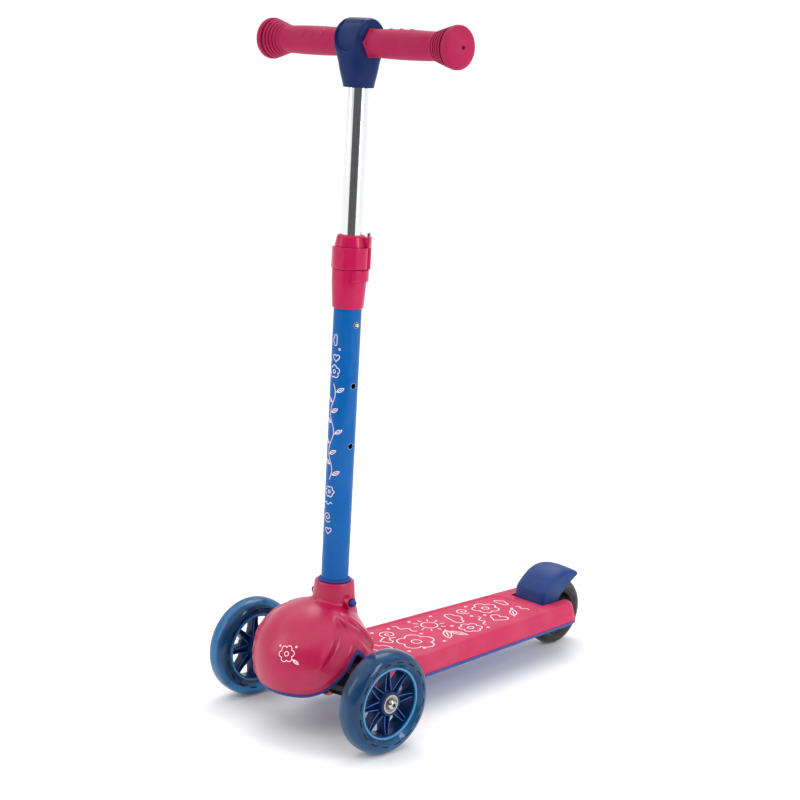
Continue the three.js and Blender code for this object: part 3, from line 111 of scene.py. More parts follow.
def polar(r: Array | float, angle: Array | float, *rest: Array | float) -> Array:
    """Points (r cos a, r sin a), with any further coordinates behind them."""
    return xyz(r * np.cos(angle), r * np.sin(angle), *rest)


def evenly(count: int) -> Array:
    """Angles that go evenly once round."""
    return np.linspace(0, 2 * math.pi, count, endpoint=False)


def bent(a: Array, b: Array, c: Array, t: Array) -> Array:
    """The quadratic curve from a to c that leans towards b, at shares of its way."""
    return a * (1 - t) ** 2 + 2 * b * t * (1 - t) + c * t ** 2


def ramp(value: Array, low: float, high: float) -> Array:
    """0 up to low, 1 from high on and even between them."""
    return np.clip((value - low) / (high - low), 0, 1)


def soft_ramp(value: Array, low: float, high: float) -> Array:
    """A ramp with soft ends, 3t^2 - 2t^3."""
    t = ramp(value, low, high)
    return t ** 2 * (3 - 2 * t)


def smooth_through(x: Array, xs: Array, ys: Array) -> Array:
    """A smooth curve through points: cubic pieces whose slope at a point is the mean of its sides.

    Args:
        x: Where to take the curve.
        xs: The points' places, rising.
        ys: Their values.

    Returns:
        The curve's values.
    """
    steps = np.diff(ys) / np.diff(xs)
    slope = np.concatenate([[steps[0]], (steps[:-1] + steps[1:]) / 2, [steps[-1]]])
    flat = np.concatenate([[False], steps[:-1] * steps[1:] <= 0, [False]])
    slope[flat] = 0
    i = np.clip(np.searchsorted(xs, x, "right") - 1, 0, len(xs) - 2)
    h = xs[i + 1] - xs[i]
    t = (x - xs[i]) / h
    return ((2 * t ** 3 - 3 * t ** 2 + 1) * ys[i] + (t ** 3 - 2 * t ** 2 + t) * h * slope[i]
            + (3 * t ** 2 - 2 * t ** 3) * ys[i + 1] + (t ** 3 - t ** 2) * h * slope[i + 1])


RAKE_DEG = 1.73
FRONT_AXLE_Y = -195.5
REAR_AXLE_Y = 224.5
FRONT_WHEEL_R = 60.0
REAR_WHEEL_R = 45.0
COLLAR_BACK = 26.0
COLLAR_Z = 150.0
COLUMN_FOOT_Y = FRONT_AXLE_Y + COLLAR_BACK - COLLAR_Z * math.tan(math.radians(RAKE_DEG))
COLUMN = shift(0, COLUMN_FOOT_Y, 0) @ turn("X", -RAKE_DEG)
Z_TO_X = turn("Y", 90)
SIXTH = math.pi / 3
AXLE_SHANK_R = 3.9
AXLE_HEAD_R = 6.5

def across_column(height: float, side: Side = Side.LEFT) -> Array:
    """A place on the column's axis whose own Z points to one side."""
    return COLUMN @ shift(0, 0, height) @ turn("Y", 90 * side.value)


def hexagon(angle: Array, flat: float) -> Array:
    """A six-sided outline's reach at an angle, where flat is the reach of its sides' middles."""
    return 1 / np.cos((angle + SIXTH / 2) % SIXTH - SIXTH / 2) * flat


# Merging distances in metres, and the angle below which a packed face counts as flat
MERGE = 2e-7
NO_LENGTH = 1e-8
CAD_MERGE = 2e-6
CAD_FLAT = math.radians(1.2)

# Noise scales per metre, the grain's depth in metres and the dust's screen colour
DRIFT_SCALE = 9.0
RUB_SCALE = 46.0
CLOUD_SCALE = 30.0
GRAIN_DEPTH = 0.0002
DUST_HEIGHT = 0.09
DUST = (206, 202, 196)


# Skins: points and faces worked out with numpy

@dataclass
class Skin:
    """Points in millimetres with the quads or other faces that join them."""

    points: Array
    faces: list[list[int]]

    def placed(self, place: Array) -> "Skin":
        """The same skin carried by a 4x4 place."""
        return Skin(placed(self.points, place), self.faces)

    def volume(self) -> float:
        """Six times the signed volume, as a sum over a fan of triangles for each face.

        Returns:
            The sum, which is negative where the faces look inwards.
        """
        quads = np.array([f for f in self.faces if len(f) == 4], int).reshape(-1, 4)
        corner = self.points[quads]
        total = np.einsum("ij,ij->", corner[:, 0], np.cross(corner[:, 1], corner[:, 2]))
        total += np.einsum("ij,ij->", corner[:, 0], np.cross(corner[:, 2], corner[:, 3]))
        for face in self.faces:
            if len(face) != 4:
                ring = self.points[face]
                fan = np.cross(ring[1:-1], ring[2:])
                total += float((ring[0] * fan.sum(0)).sum())
        return float(total)

    def outward(self) -> "Skin":
        """The skin with its faces turned outwards, for a closed one."""
        return self if self.volume() >= 0 else Skin(self.points, [face[::-1] for face in self.faces])


def joined(skins: Sequence[Skin]) -> Skin:
    """Several skins as one, each keeping its own points.

    Args:
        skins: What to join.

    Returns:
        The one skin.
    """
    starts = np.cumsum([0] + [len(skin.points) for skin in skins]).tolist()
    faces = [[i + start for i in face] for skin, start in zip(skins, starts) for face in skin.faces]
    return Skin(np.concatenate([skin.points for skin in skins]), faces)


def woven(grid: Array, ring: bool = True, loop: bool = False, caps: bool = False) -> Skin:
    """A skin over a grid of points.

    Args:
        grid: Rows by columns by 3.
        ring: Whether the last column joins the first.
        loop: Whether the last row joins the first.
        caps: Whether the first and last rows are filled as flat faces.

    Returns:
        The skin, with its faces outwards where it is closed.
    """
    rows, cols = grid.shape[:2]
    r = np.arange(rows if loop else rows - 1)[:, None]
    c = np.arange(cols if ring else cols - 1)[None, :]
    r2, c2 = (r + 1) % rows, (c + 1) % cols
    quads = np.stack([r * cols + c, r * cols + c2, r2 * cols + c2, r2 * cols + c], -1)
    faces = quads.reshape(-1, 4).tolist()
    if caps:
        faces.append(list(range(cols))[::-1])
        faces.append(list(range((rows - 1) * cols, rows * cols)))
    skin = Skin(grid.reshape(-1, 3), faces)
    return skin.outward() if loop or caps else skin


def soft_path(points: Sequence[Sequence[float]], radius: float | Sequence[float], steps: int = 4,
              closed: bool = True) -> Array:
    """A polyline with rounded corners.

    Each corner becomes the quadratic curve from a point a radius before it to one a radius after
    it, with the corner as its control point; the radius is cut to 0.48 of the shorter edge.

    Args:
        points: The corners, in the plane.
        radius: One radius, or one for each corner; 0 keeps a corner sharp.
        steps: Pieces in each curve.
        closed: Whether the last corner joins the first.

    Returns:
        An array of points in the plane.
    """
    p = np.array(points, float)
    before, after = np.roll(p, 1, 0), np.roll(p, -1, 0)
    reach = np.broadcast_to(np.array(radius, float), len(p)).copy()
    if not closed:
        reach[[0, -1]] = 0
    edge_in = np.linalg.norm(before - p, axis=1) + 1e-12
    edge_out = np.linalg.norm(after - p, axis=1) + 1e-12
    reach = np.minimum(reach, 0.48 * np.minimum(edge_in, edge_out))
    a = p + (before - p) * (reach / edge_in)[:, None]
    b = p + (after - p) * (reach / edge_out)[:, None]
    curve = bent(a[:, None], p[:, None], b[:, None], np.linspace(0, 1, steps + 1)[None, :, None])
    kept = [curve[i] if reach[i] > 0 else p[i:i + 1] for i in range(len(p))]
    return np.concatenate(kept)


def revolved(path: Array, sides: int = 96, place: Array = np.eye(4),
             shape: Callable[[Array, Array], Array] | None = None) -> Skin:
    """A closed path of (radius, height) carried round Z.

    A point is (r cos a, r sin a, h), where a shape may give r a factor of the row and the angle.

    Args:
        path: The section, as pairs of radius and height.
        sides: Points round the axis.
        place: Where the axis goes.
        shape: Takes the rows' indices and the angles and gives the factor on r.

    Returns:
        The skin.
    """
    r, angle = path[:, :1], evenly(sides)[None]
    if shape is not None:
        r = r * shape(np.arange(len(path))[:, None], angle)
    return woven(placed(polar(r, angle, path[:, 1:2]), place), loop=True)


def super_ring(half_a: Array, half_b: Array, power: Array, count: int) -> Array:
    """Rounded square outlines: |x/a|^p + |y/b|^p = 1, one row for each set of half sizes.

    Args:
        half_a: Half widths, one a row.
        half_b: Half depths, one a row.
        power: Squareness, one a row; 2 is an ellipse.
        count: Points in each outline.

    Returns:
        Rows by count by 2.
    """
    c, s, p = np.cos(evenly(count)), np.sin(evenly(count)), power[:, None]
    reach = (np.abs(c) ** p + np.abs(s) ** p) ** (-1 / p)
    return xyz(half_a[:, None] * reach * c, half_b[:, None] * reach * s)


def spun(corners: Sequence[Sequence[float]], radii: float | Sequence[float], steps: int, sides: int,
         place: Array = np.eye(4), closed: bool = True) -> Skin:
    """A section of (radius, height) with rounded corners carried round Z."""
    return revolved(soft_path(corners, radii, steps, closed), sides, place)


def pipe(r: float, bore: float, z0: float, z1: float, edge: float = 0.3, sides: int = 96,
         place: Array = np.eye(4)) -> Skin:
    """A tube about Z with softened edges."""
    return spun([[bore, z0], [r, z0], [r, z1], [bore, z1]], edge, 3, sides, place)


def swept_arc(section: Array, from_deg: float, to_deg: float, steps: int, round_end: float,
              place: Array = np.eye(4)) -> Skin:
    """A section of (radius, height) carried round Z from one angle to another.

    Near each end the section shrinks towards its middle along a quarter circle, so that the
    ends are rounded.

    Args:
        section: A closed outline of radius and height.
        from_deg: Angle of the first end.
        to_deg: Angle of the last end.
        steps: Pieces along the arc.
        round_end: Radius of the rounded ends, in millimetres.
        place: Where the axis goes.

    Returns:
        The skin.
    """
    middle = (section.max(0) + section.min(0)) / 2
    half = (section.max(0) - section.min(0)) / 2
    ends = np.sin(np.linspace(0, math.pi / 2, 4))
    inset = 1 - ends
    spin = math.degrees(round_end / middle[0])
    sign = 1 if to_deg > from_deg else -1
    angle = np.concatenate([from_deg + sign * spin * (1 - np.cos(np.arcsin(ends))),
                            np.linspace(from_deg + sign * spin, to_deg - sign * spin, steps),
                            (to_deg - sign * spin * (1 - np.cos(np.arcsin(ends))))[::-1]])
    shrink = np.concatenate([inset, np.zeros(steps), inset[::-1]]) * round_end
    scale = 1 - shrink[:, None] / half[None, :]
    ring = middle + (section[None] - middle) * scale[:, None, :]
    a = np.radians(angle)[:, None]
    return woven(placed(polar(ring[..., 0], a, ring[..., 1]), place), caps=True)


# Meshes and objects

def sharp_from(mesh: bpy.types.Mesh, degrees: float) -> None:
    """Shades a mesh smooth except across edges sharper than an angle."""
    mesh.shade_smooth()
    mesh.set_sharp_from_angle(angle=math.radians(degrees))


@contextmanager
def opened(mesh: bpy.types.Mesh) -> Iterator[bmesh.types.BMesh]:
    """Opens a mesh for editing and writes it back afterwards.

    Args:
        mesh: The mesh to edit.

    Yields:
        Its editable copy.
    """
    work = bmesh.new()
    work.from_mesh(mesh)
    yield work
    work.to_mesh(mesh)
    work.free()


def linked(name: str, data: bpy.types.ID) -> Piece:
    """A new object in the scene.

    Args:
        name: Its name.
        data: The mesh, light or camera that it holds.

    Returns:
        The object.
    """
    made = bpy.data.objects.new(name, data)
    bpy.context.scene.collection.objects.link(made)
    return made


def solid(name: str, skin: Skin, degrees: float = 38) -> Piece:
    """Puts a skin into a mesh object at the origin, with its doubled points merged.

    Args:
        name: The piece's name.
        skin: Points in millimetres and faces.
        degrees: Edges sharper than this stay crisp in the shading.

    Returns:
        The object, linked to the scene.
    """
    mesh = bpy.data.meshes.new(name)
    mesh.from_pydata((skin.points * MM).tolist(), [], skin.faces)
    with opened(mesh) as work:
        bmesh.ops.remove_doubles(work, verts=work.verts, dist=MERGE)
        bmesh.ops.dissolve_degenerate(work, edges=work.edges, dist=NO_LENGTH)
    sharp_from(mesh, degrees)
    return linked(name, mesh)


def baked(piece: Piece) -> None:
    """Applies a piece's modifiers by taking its evaluated mesh.

    Args:
        piece: The object to change.
    """
    graph = bpy.context.evaluated_depsgraph_get()
    mesh = bpy.data.meshes.new_from_object(piece.evaluated_get(graph))
    piece.modifiers.clear()
    piece.data = mesh


def carved(piece: Piece, tools: Sequence[Skin], degrees: float = 38) -> Piece:
    """Cuts closed skins out of a piece.

    Args:
        piece: The object to cut.
        tools: What to take away.
        degrees: Edges sharper than this stay crisp in the shading.

    Returns:
        The same object, with its new mesh.
    """
    cutter = solid("cutter", joined(tools))
    cut = piece.modifiers.new("cut", "BOOLEAN")
    cut.operation, cut.solver, cut.object = "DIFFERENCE", "EXACT", cutter
    cut.use_self = len(tools) > 1
    baked(piece)
    bpy.data.objects.remove(cutter)
    sharp_from(piece.data, degrees)
    return piece


def eased(piece: Piece, width: float, segments: int = 2, degrees: float = 32) -> Piece:
    """Rounds a piece's sharp edges.

    Args:
        piece: The object to change.
        width: The rounding's width in millimetres.
        segments: Pieces across it.
        degrees: Edges flatter than this are left alone.

    Returns:
        The same object, with its new mesh.
    """
    bevel = piece.modifiers.new("ease", "BEVEL")
    bevel.width, bevel.segments = width * MM, segments
    bevel.limit_method, bevel.angle_limit = "ANGLE", math.radians(degrees)
    bevel.use_clamp_overlap, bevel.harden_normals = True, True
    baked(piece)
    return piece


def cad_copy(node: str, name: str, width: float = 0.5, degrees: float = 30) -> Piece:
    """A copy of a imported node, merged, freed of its flat triangles and with eased edges.

    Args:
        node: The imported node.
        name: The copy's name.
        width: How far its edges are eased, in millimetres.
        degrees: Edges sharper than this stay crisp in the shading.

    Returns:
        The copy.
    """
    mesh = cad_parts[node].data.copy()
    mesh.name = name
    with opened(mesh) as work:
        bmesh.ops.remove_doubles(work, verts=work.verts, dist=CAD_MERGE)
        bmesh.ops.dissolve_limit(work, angle_limit=CAD_FLAT, verts=work.verts, edges=work.edges)
    for layer in list(mesh.uv_layers):
        mesh.uv_layers.remove(layer)
    sharp_from(mesh, degrees)
    return eased(linked(name, mesh), width, 2, degrees + 8)


# Finishes

def srgb(red: int, green: int, blue: int) -> tuple[float, float, float, float]:
    """A screen colour as the linear colour that a shader takes.

    Args:
        red: Red, 0 to 255.
        green: Green, 0 to 255.
        blue: Blue, 0 to 255.

    Returns:
        Linear red, green and blue with an alpha of 1.
    """
    def linear(value: int) -> float:
        """One channel, by the sRGB curve."""
        share = value / 255
        return share / 12.92 if share <= 0.04045 else ((share + 0.055) / 1.055) ** 2.4
    return linear(red), linear(green), linear(blue), 1.0


def effect_group(name: str, sockets: Sequence[tuple[str, str, str, object]],
                 build: Callable[[Tree, Node, Node], None]) -> Tree:
    """Makes a shader node group once.

    Args:
        name: The group's name.
        sockets: Each socket's name, IN or OUT, type and default value.
        build: Fills the group between its input and output nodes.

    Returns:
        The group.
    """
    group = bpy.data.node_groups.get(name)
    if group is not None:
        return group
    group = bpy.data.node_groups.new(name, "ShaderNodeTree")
    for label, way, kind, value in sockets:
        socket = group.interface.new_socket(label, in_out=way + "PUT", socket_type="NodeSocket" + kind)
        if value is not None:
            socket.default_value = value
    build(group, group.nodes.new("NodeGroupInput"), group.nodes.new("NodeGroupOutput"))
    return group


def fed(tree: Tree, node: Node, inputs: dict[str | int, object]) -> Node:
    """Links each input that is given a socket and sets each that is given a value.

    Args:
        tree: The node's tree.
        node: The node to feed.
        inputs: A socket or a value for each input's label or number.

    Returns:
        The node.
    """
    for label, value in inputs.items():
        if isinstance(value, Socket):
            tree.links.new(value, node.inputs[label])
        else:
            node.inputs[label].default_value = value
    return node


def wired(tree: Tree, kind: str, inputs: dict[str | int, object], **settings: object) -> Node:
    """A new shader node with its settings and its inputs fed.

    Args:
        tree: Where it goes.
        kind: Its type, without the leading ShaderNode.
        inputs: A socket or a value for each input.
        **settings: The node's own properties, which are set first.

    Returns:
        The node.
    """
    node = tree.nodes.new("ShaderNode" + kind)
    for label, value in settings.items():
        setattr(node, label, value)
    return fed(tree, node, inputs)


def noise(tree: Tree, vector: Socket, scale: float | Socket, detail: float) -> Socket:
    """A noise texture's value on given coordinates."""
    return wired(tree, "TexNoise", {"Vector": vector, "Scale": scale, "Detail": detail}).outputs["Fac"]


def mapped(tree: Tree, value: Socket, low: float, high: float, to_low: float | Socket,
           to_high: float | Socket) -> Socket:
    """A value carried from one range to another and held inside it."""
    ends = {"Value": value, "From Min": low, "From Max": high, "To Min": to_low, "To Max": to_high}
    return wired(tree, "MapRange", ends).outputs["Result"]


def mixed(tree: Tree, factor: Socket, first: Socket, second: Socket) -> Socket:
    """Two colours mixed by a mask."""
    return wired(tree, "Mix", {"Factor": factor, "A": first, "B": second}, data_type="RGBA").outputs["Result"]


def fill_moulding(tree: Tree, entry: Node, exit_: Node) -> None:
    """Fills the moulded-surface group: slow colour drift, a fine grain and scattered rubbed spots.

    Args:
        tree: The group.
        entry: Its input node.
        exit_: Its output node.
    """
    given = entry.outputs
    where = wired(tree, "TexCoord", {}).outputs["Object"]
    drift, rub = noise(tree, where, DRIFT_SCALE, 2), noise(tree, where, RUB_SCALE, 5)
    grain = noise(tree, where, given["Grain Scale"], 2)
    shade = mapped(tree, drift, 0.3, 0.7, 0.0, given["Drift"])
    spots = mapped(tree, rub, 0.58, 0.76, 0.0, given["Rubbing"])
    toned = mixed(tree, shade, given["Color"], given["Shade"])
    rough = wired(tree, "Math", {0: mapped(tree, rub, 0.35, 0.75, -0.5, 0.5), 1: given["Roughness Swing"],
                                 2: given["Roughness"]}, operation="MULTIPLY_ADD")
    bump = wired(tree, "Bump", {"Distance": GRAIN_DEPTH, "Strength": given["Grain"], "Height": grain})
    fed(tree, exit_, {"Color": mixed(tree, spots, toned, given["Rubbed"]), "Roughness": rough.outputs[0],
                      "Normal": bump.outputs["Normal"]})


MOULDING_SOCKETS = (
    ("Color", "IN", "Color", None), ("Shade", "IN", "Color", None), ("Rubbed", "IN", "Color", None),
    ("Drift", "IN", "Float", 0.3), ("Rubbing", "IN", "Float", 0.2), ("Roughness", "IN", "Float", 0.4),
    ("Roughness Swing", "IN", "Float", 0.1), ("Grain Scale", "IN", "Float", 1400.0),
    ("Grain", "IN", "Float", 0.15),
    ("Color", "OUT", "Color", None), ("Roughness", "OUT", "Float", None), ("Normal", "OUT", "Vector", None),
)


def fill_dust(tree: Tree, entry: Node, exit_: Node) -> None:
    """Fills the dust group: a pale film that is stronger low down and on faces that look up.

    Args:
        tree: The group.
        entry: Its input node.
        exit_: Its output node.
    """
    given = entry.outputs
    where = wired(tree, "TexCoord", {}).outputs["Object"]
    facing = wired(tree, "NewGeometry", {}).outputs["Normal"]
    height, rise = (wired(tree, "SeparateXYZ", {0: way}).outputs["Z"] for way in (where, facing))
    amount = given["Amount"]
    for part in (mapped(tree, height, 0.0, DUST_HEIGHT, 1.0, 0.25), mapped(tree, rise, -0.2, 1.0, 0.3, 1.0),
                 mapped(tree, noise(tree, where, CLOUD_SCALE, 4), 0.42, 0.72, 0.0, 1.0)):
        amount = wired(tree, "Math", {0: amount, 1: part}, operation="MULTIPLY").outputs[0]
    fed(tree, exit_, {"Color": mixed(tree, amount, given["Color"], given["Dust"])})


DUST_SOCKETS = (
    ("Color", "IN", "Color", None), ("Dust", "IN", "Color", None), ("Amount", "IN", "Float", 0.1),
    ("Color", "OUT", "Color", None),
)


@dataclass(frozen=True)
class Finish:
    """What every surface shares: a name, the record's slot and a colour with its drift and wear."""

    name: str
    slot: str
    colour: tuple[int, int, int]
    shade: tuple[int, int, int]
    rubbed: tuple[int, int, int]
    drift: float = 0.35
    rubbing: float = 0.12
    roughness: float = 0.4
    swing: float = 0.12
    grain_scale: float = 1400.0
    grain: float = 0.12
    dust: float = 0.12
    metallic: float = 0.0
    coat: float = 0.0
    coat_roughness: float = 0.1
    specular: float = 0.5
    transmission: float = 0.0
    ior: float = 1.5

    def material(self) -> bpy.types.Material:
        """The finish as a material, made once.

        Returns:
            A Principled surface fed by the moulding and dust groups.
        """
        found = bpy.data.materials.get(self.name)
        if found is not None:
            return found
        made = bpy.data.materials.new(self.name)
        made.use_nodes = True
        tree = made.node_tree
        cover = wired(tree, "Group", {
            "Color": srgb(*self.colour), "Shade": srgb(*self.shade), "Rubbed": srgb(*self.rubbed),
            "Drift": self.drift, "Rubbing": self.rubbing, "Roughness": self.roughness,
            "Roughness Swing": self.swing, "Grain Scale": self.grain_scale, "Grain": self.grain,
        }, node_tree=effect_group("moulded_surface", MOULDING_SOCKETS, fill_moulding))
        film = wired(tree, "Group", {
            "Color": cover.outputs["Color"], "Dust": srgb(*DUST), "Amount": self.dust,
        }, node_tree=effect_group("settled_dust", DUST_SOCKETS, fill_dust))
        fed(tree, tree.nodes["Principled BSDF"], {
            "Base Color": film.outputs["Color"], "Roughness": cover.outputs["Roughness"],
            "Normal": cover.outputs["Normal"], "Metallic": self.metallic, "Coat Weight": self.coat,
            "Coat Roughness": self.coat_roughness, "Specular IOR Level": self.specular,
            "Transmission Weight": self.transmission, "IOR": self.ior,
        })
        return made


DECK_PINK = Finish("deck_pink", "pink_shell", (189, 44, 86), (180, 38, 78), (220, 104, 132),
                   roughness=0.5, grain=0.16, specular=0.2)
HOOD_PINK = Finish("hood_pink", "pink_hood", (172, 9, 68), (163, 8, 62), (204, 72, 112),
                   rubbing=0.06, roughness=0.31, swing=0.03, grain=0.08, specular=0.42)
CLAMP_PINK = Finish("clamp_pink", "pink_clamp", (179, 0, 72), (168, 0, 64), (210, 60, 118),
                    roughness=0.24, swing=0.06, grain=0.04, coat=0.12, coat_roughness=0.12, specular=0.2)
GRIP_PINK = Finish("grip_pink", "pink_grip", (162, 18, 72), (150, 14, 64), (184, 66, 106),
                   roughness=0.62, grain=0.3, grain_scale=2200.0, specular=0.18)
TUBE_BLUE = Finish("tube_blue", "blue_tube", (0, 88, 160), (0, 79, 146), (24, 114, 178),
                   roughness=0.3, swing=0.06, grain=0.05, rubbing=0.06, coat=0.12, coat_roughness=0.08,
                   specular=0.08)
SHELL_BLUE = Finish("shell_blue", "blue_shell", (18, 54, 116), (14, 46, 102), (78, 106, 162),
                    roughness=0.46, grain=0.2, specular=0.25)
RIM_LINE_BLUE = Finish("rim_line_blue", "blue_shell", (44, 70, 148), (36, 60, 134), (96, 116, 176),
                       roughness=0.42, grain=0.15, specular=0.25)
LINER_BLUE = Finish("liner_blue", "blue_shell", (30, 50, 124), (24, 42, 110), (84, 104, 166),
                    roughness=0.4, grain=0.12, specular=0.3, dust=0.05)
CROWN_NAVY = Finish("crown_navy", "navy_shell", (2, 34, 88), (2, 29, 78), (52, 80, 132),
                    roughness=0.42, grain=0.3, grain_scale=1900.0, specular=0.14)
BUSH_NAVY = Finish("bush_navy", "navy_shell", (22, 52, 132), (18, 44, 118), (76, 104, 170),
                   roughness=0.44, grain=0.12, specular=0.3)
WHEEL_BLUE = Finish("wheel_blue", "wheel_blue", (6, 44, 92), (3, 36, 80), (50, 92, 146),
                    roughness=0.3, grain=0.0, specular=0.2)
WEB_NAVY = Finish("web_navy", "wheel_blue", (4, 40, 88), (3, 32, 74), (40, 76, 124),
                  roughness=0.34, grain=0.05, specular=0.2)
# painted shade: dark dashes on the tyre's faces where the flange's slots look dark through the see-through
# tyre
SLOT_SHADE_NAVY = Finish("mark_navy", "wheel_blue", (2, 18, 42), (2, 14, 34), (30, 54, 90),
                   roughness=0.4, grain=0.05, specular=0.1)
# painted highlight: a lighter blue for the spokes' raised lines and the lip's round lines, standing in for
# the highlights along their edges
LINE_BLUE = Finish("line_blue", "wheel_blue", (46, 98, 172), (38, 86, 156), (90, 130, 190),
                   roughness=0.3, grain=0.05, specular=0.4)
TYRE_CLEAR_BLUE = Finish("tyre_clear_blue", "tyre_blue", (30, 104, 156), (26, 94, 144), (60, 124, 166),
                         drift=0.2, rubbing=0.05, roughness=0.29, swing=0.0, grain=0.0, dust=0.03,
                         transmission=0.78, ior=1.16, specular=0.5, coat=0.5, coat_roughness=0.05)
TYRE_SMOKE = Finish("tyre_smoke", "tyre_grey", (44, 46, 42), (36, 38, 34), (84, 86, 80),
                    rubbing=0.06, roughness=0.29, swing=0.0, grain=0.0, dust=0.06,
                    transmission=0.7, ior=1.25, specular=0.5, coat=0.3, coat_roughness=0.05)
NYLON = Finish("black_nylon", "nylon", (26, 27, 30), (20, 21, 24), (70, 70, 74),
               roughness=0.5, grain=0.25, specular=0.3)
RED_RUBBER = Finish("red_rubber", "red_rubber", (150, 38, 34), (128, 30, 28), (180, 90, 84),
                    roughness=0.6, grain=0.25, specular=0.3)
CHROME = Finish("chrome", "chrome", (232, 234, 236), (222, 224, 228), (238, 238, 240), drift=0.2,
                rubbing=0.05, roughness=0.05, swing=0.03, grain=0.01, dust=0.0, metallic=1.0)
ZINC = Finish("zinc_steel", "steel", (186, 188, 190), (160, 162, 166), (212, 212, 214), drift=0.5,
              rubbing=0.2, roughness=0.26, swing=0.16, grain=0.06, dust=0.05, metallic=1.0)
BRASS = Finish("brass", "brass", (196, 158, 84), (172, 132, 64), (224, 196, 132), drift=0.5,
               rubbing=0.2, roughness=0.24, swing=0.12, grain=0.04, dust=0.0, metallic=1.0)
SHIELD = Finish("bearing_shield", "steel", (150, 142, 126), (122, 114, 100), (186, 180, 168), drift=0.5,
                rubbing=0.3, roughness=0.34, swing=0.16, grain=0.08, dust=0.05, metallic=1.0)
INK = Finish("pale_ink", "pink_shell", (252, 228, 232), (248, 214, 222), (240, 184, 198), drift=0.5,
             rubbing=0.4, roughness=0.42, grain=0.08, dust=0.0, specular=0.3)


def dress(piece: Piece, look: Finish, body: Body, *nodes: str) -> Piece:
    """Gives a finished piece its material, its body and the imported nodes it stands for.

    Args:
        piece: The object, at the origin.
        look: Its finish.
        body: What it rides on.
        *nodes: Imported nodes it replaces.

    Returns:
        The piece.
    """
    piece.data.materials.clear()
    piece.data.materials.append(look.material())
    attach(piece, body.value)
    if nodes:
        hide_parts(*nodes)
    log.info("%s: %d faces on %s", piece.name, len(piece.data.polygons), body.value)
    return piece


# The print: closed and open outlines in the plane, as strips of ink

def loop_line(radius: Callable[[Array], Array], count: int = 96) -> Array:
    """A closed outline given by its radius at each angle."""
    angle = np.linspace(0, 2 * math.pi, count + 1)
    return polar(radius(angle), angle)


def blossom(petals: int, size: float) -> list[Array]:
    """A flower: r = size (0.7 + 0.3 |cos(p a / 2)|^0.7), with a round heart."""
    petal = loop_line(lambda a: size * (0.7 + 0.3 * np.abs(np.cos(petals * a / 2)) ** 0.7), 160)
    return [petal, loop_line(lambda a: 0.26 * size, 40)]


def leaf(length: float, width: float) -> list[Array]:
    """A leaf: arcs y = +-w/2 sin(pi t)^0.8 (1 - t/4) between its ends, with a middle vein.

    Args:
        length: From end to end, without the stalk.
        width: Across its middle.

    Returns:
        The outline and the vein.
    """
    t = np.linspace(0, 1, 40)
    bulge = width / 2 * np.sin(math.pi * t) ** 0.8 * (1 - 0.25 * t)
    x = (t - 0.5) * length
    outline = np.concatenate([xyz(x, bulge), xyz(x, -bulge)[::-1]])
    return [outline, np.linspace((-0.62 * length, 0), (0.26 * length, 0), 12)]


def cloud(size: float) -> list[Array]:
    """A cloud: three humps end to end, each an arc (x + r cos a, y + r sin a), the middle one raised.

    Args:
        size: About half its length.

    Returns:
        The outline.
    """
    arcs = []
    humps = ((-0.62, 0, 0.34, 270, 75), (-0.05, 0.12, 0.5, 160, 25), (0.62, 0, 0.34, 100, -90))
    for x, y, r, start, end in humps:
        arcs.append(polar(r, np.radians(np.linspace(start, end, 24))) + (x, y))
    return [np.concatenate(arcs + [arcs[0][:1]]) * size]


def heart(size: float) -> list[Array]:
    """A heart: x = sin^3 a, y = (13 cos a - 5 cos 2a - 2 cos 3a - cos 4a) / 16.

    Args:
        size: Half its width.

    Returns:
        The outline.
    """
    a = np.linspace(0, 2 * math.pi, 60)
    y = (13 * np.cos(a) - 5 * np.cos(2 * a) - 2 * np.cos(3 * a) - np.cos(4 * a)) / 16
    return [xyz(np.sin(a) ** 3, y) * size]


def sun(size: float, rays: int) -> list[Array]:
    """A round sun of half the size, with rays that run from 0.7 of it to its rim.

    Args:
        size: Reach of the rays.
        rays: How many.

    Returns:
        The disc's outline and the rays.
    """
    ray = [np.array([[0.7 * size, 0], [size, 0]])]
    lines = [loop_line(lambda a: 0.5 * size, 48)]
    return lines + [line for i in range(rays) for line in put(ray, 0, 0, 360 / rays * i)]


def curl(size: float, turns: float) -> list[Array]:
    """A curl: the spiral r = size t with the angle growing evenly.

    Args:
        size: Reach of its outer end.
        turns: How many turns it makes.

    Returns:
        The line.
    """
    t = np.linspace(0.06, 1, 70)
    return [polar(size * t, 2 * math.pi * turns * t)]


def ripple(length: float, height: float, waves: float) -> list[Array]:
    """A wavy line: y = h sin(2 pi n t)."""
    t = np.linspace(0, 1, 60)
    return [xyz((t - 0.5) * length, height * np.sin(2 * math.pi * waves * t))]


def dot(size: float) -> list[Array]:
    """A small ring."""
    return [loop_line(lambda a: size, 20)]


def put(lines: list[Array], x: float, y: float, degrees: float = 0) -> list[Array]:
    """A motif turned and then moved to a place."""
    c, s = math.cos(math.radians(degrees)), math.sin(math.radians(degrees))
    return [line @ np.array([[c, s], [-s, c]]) + (x, y) for line in lines]


def laid(*motifs: Sequence[object]) -> list[Array]:
    """Motifs, each with its place and turn, as one list of lines."""
    return [line for motif in motifs for line in put(*motif)]


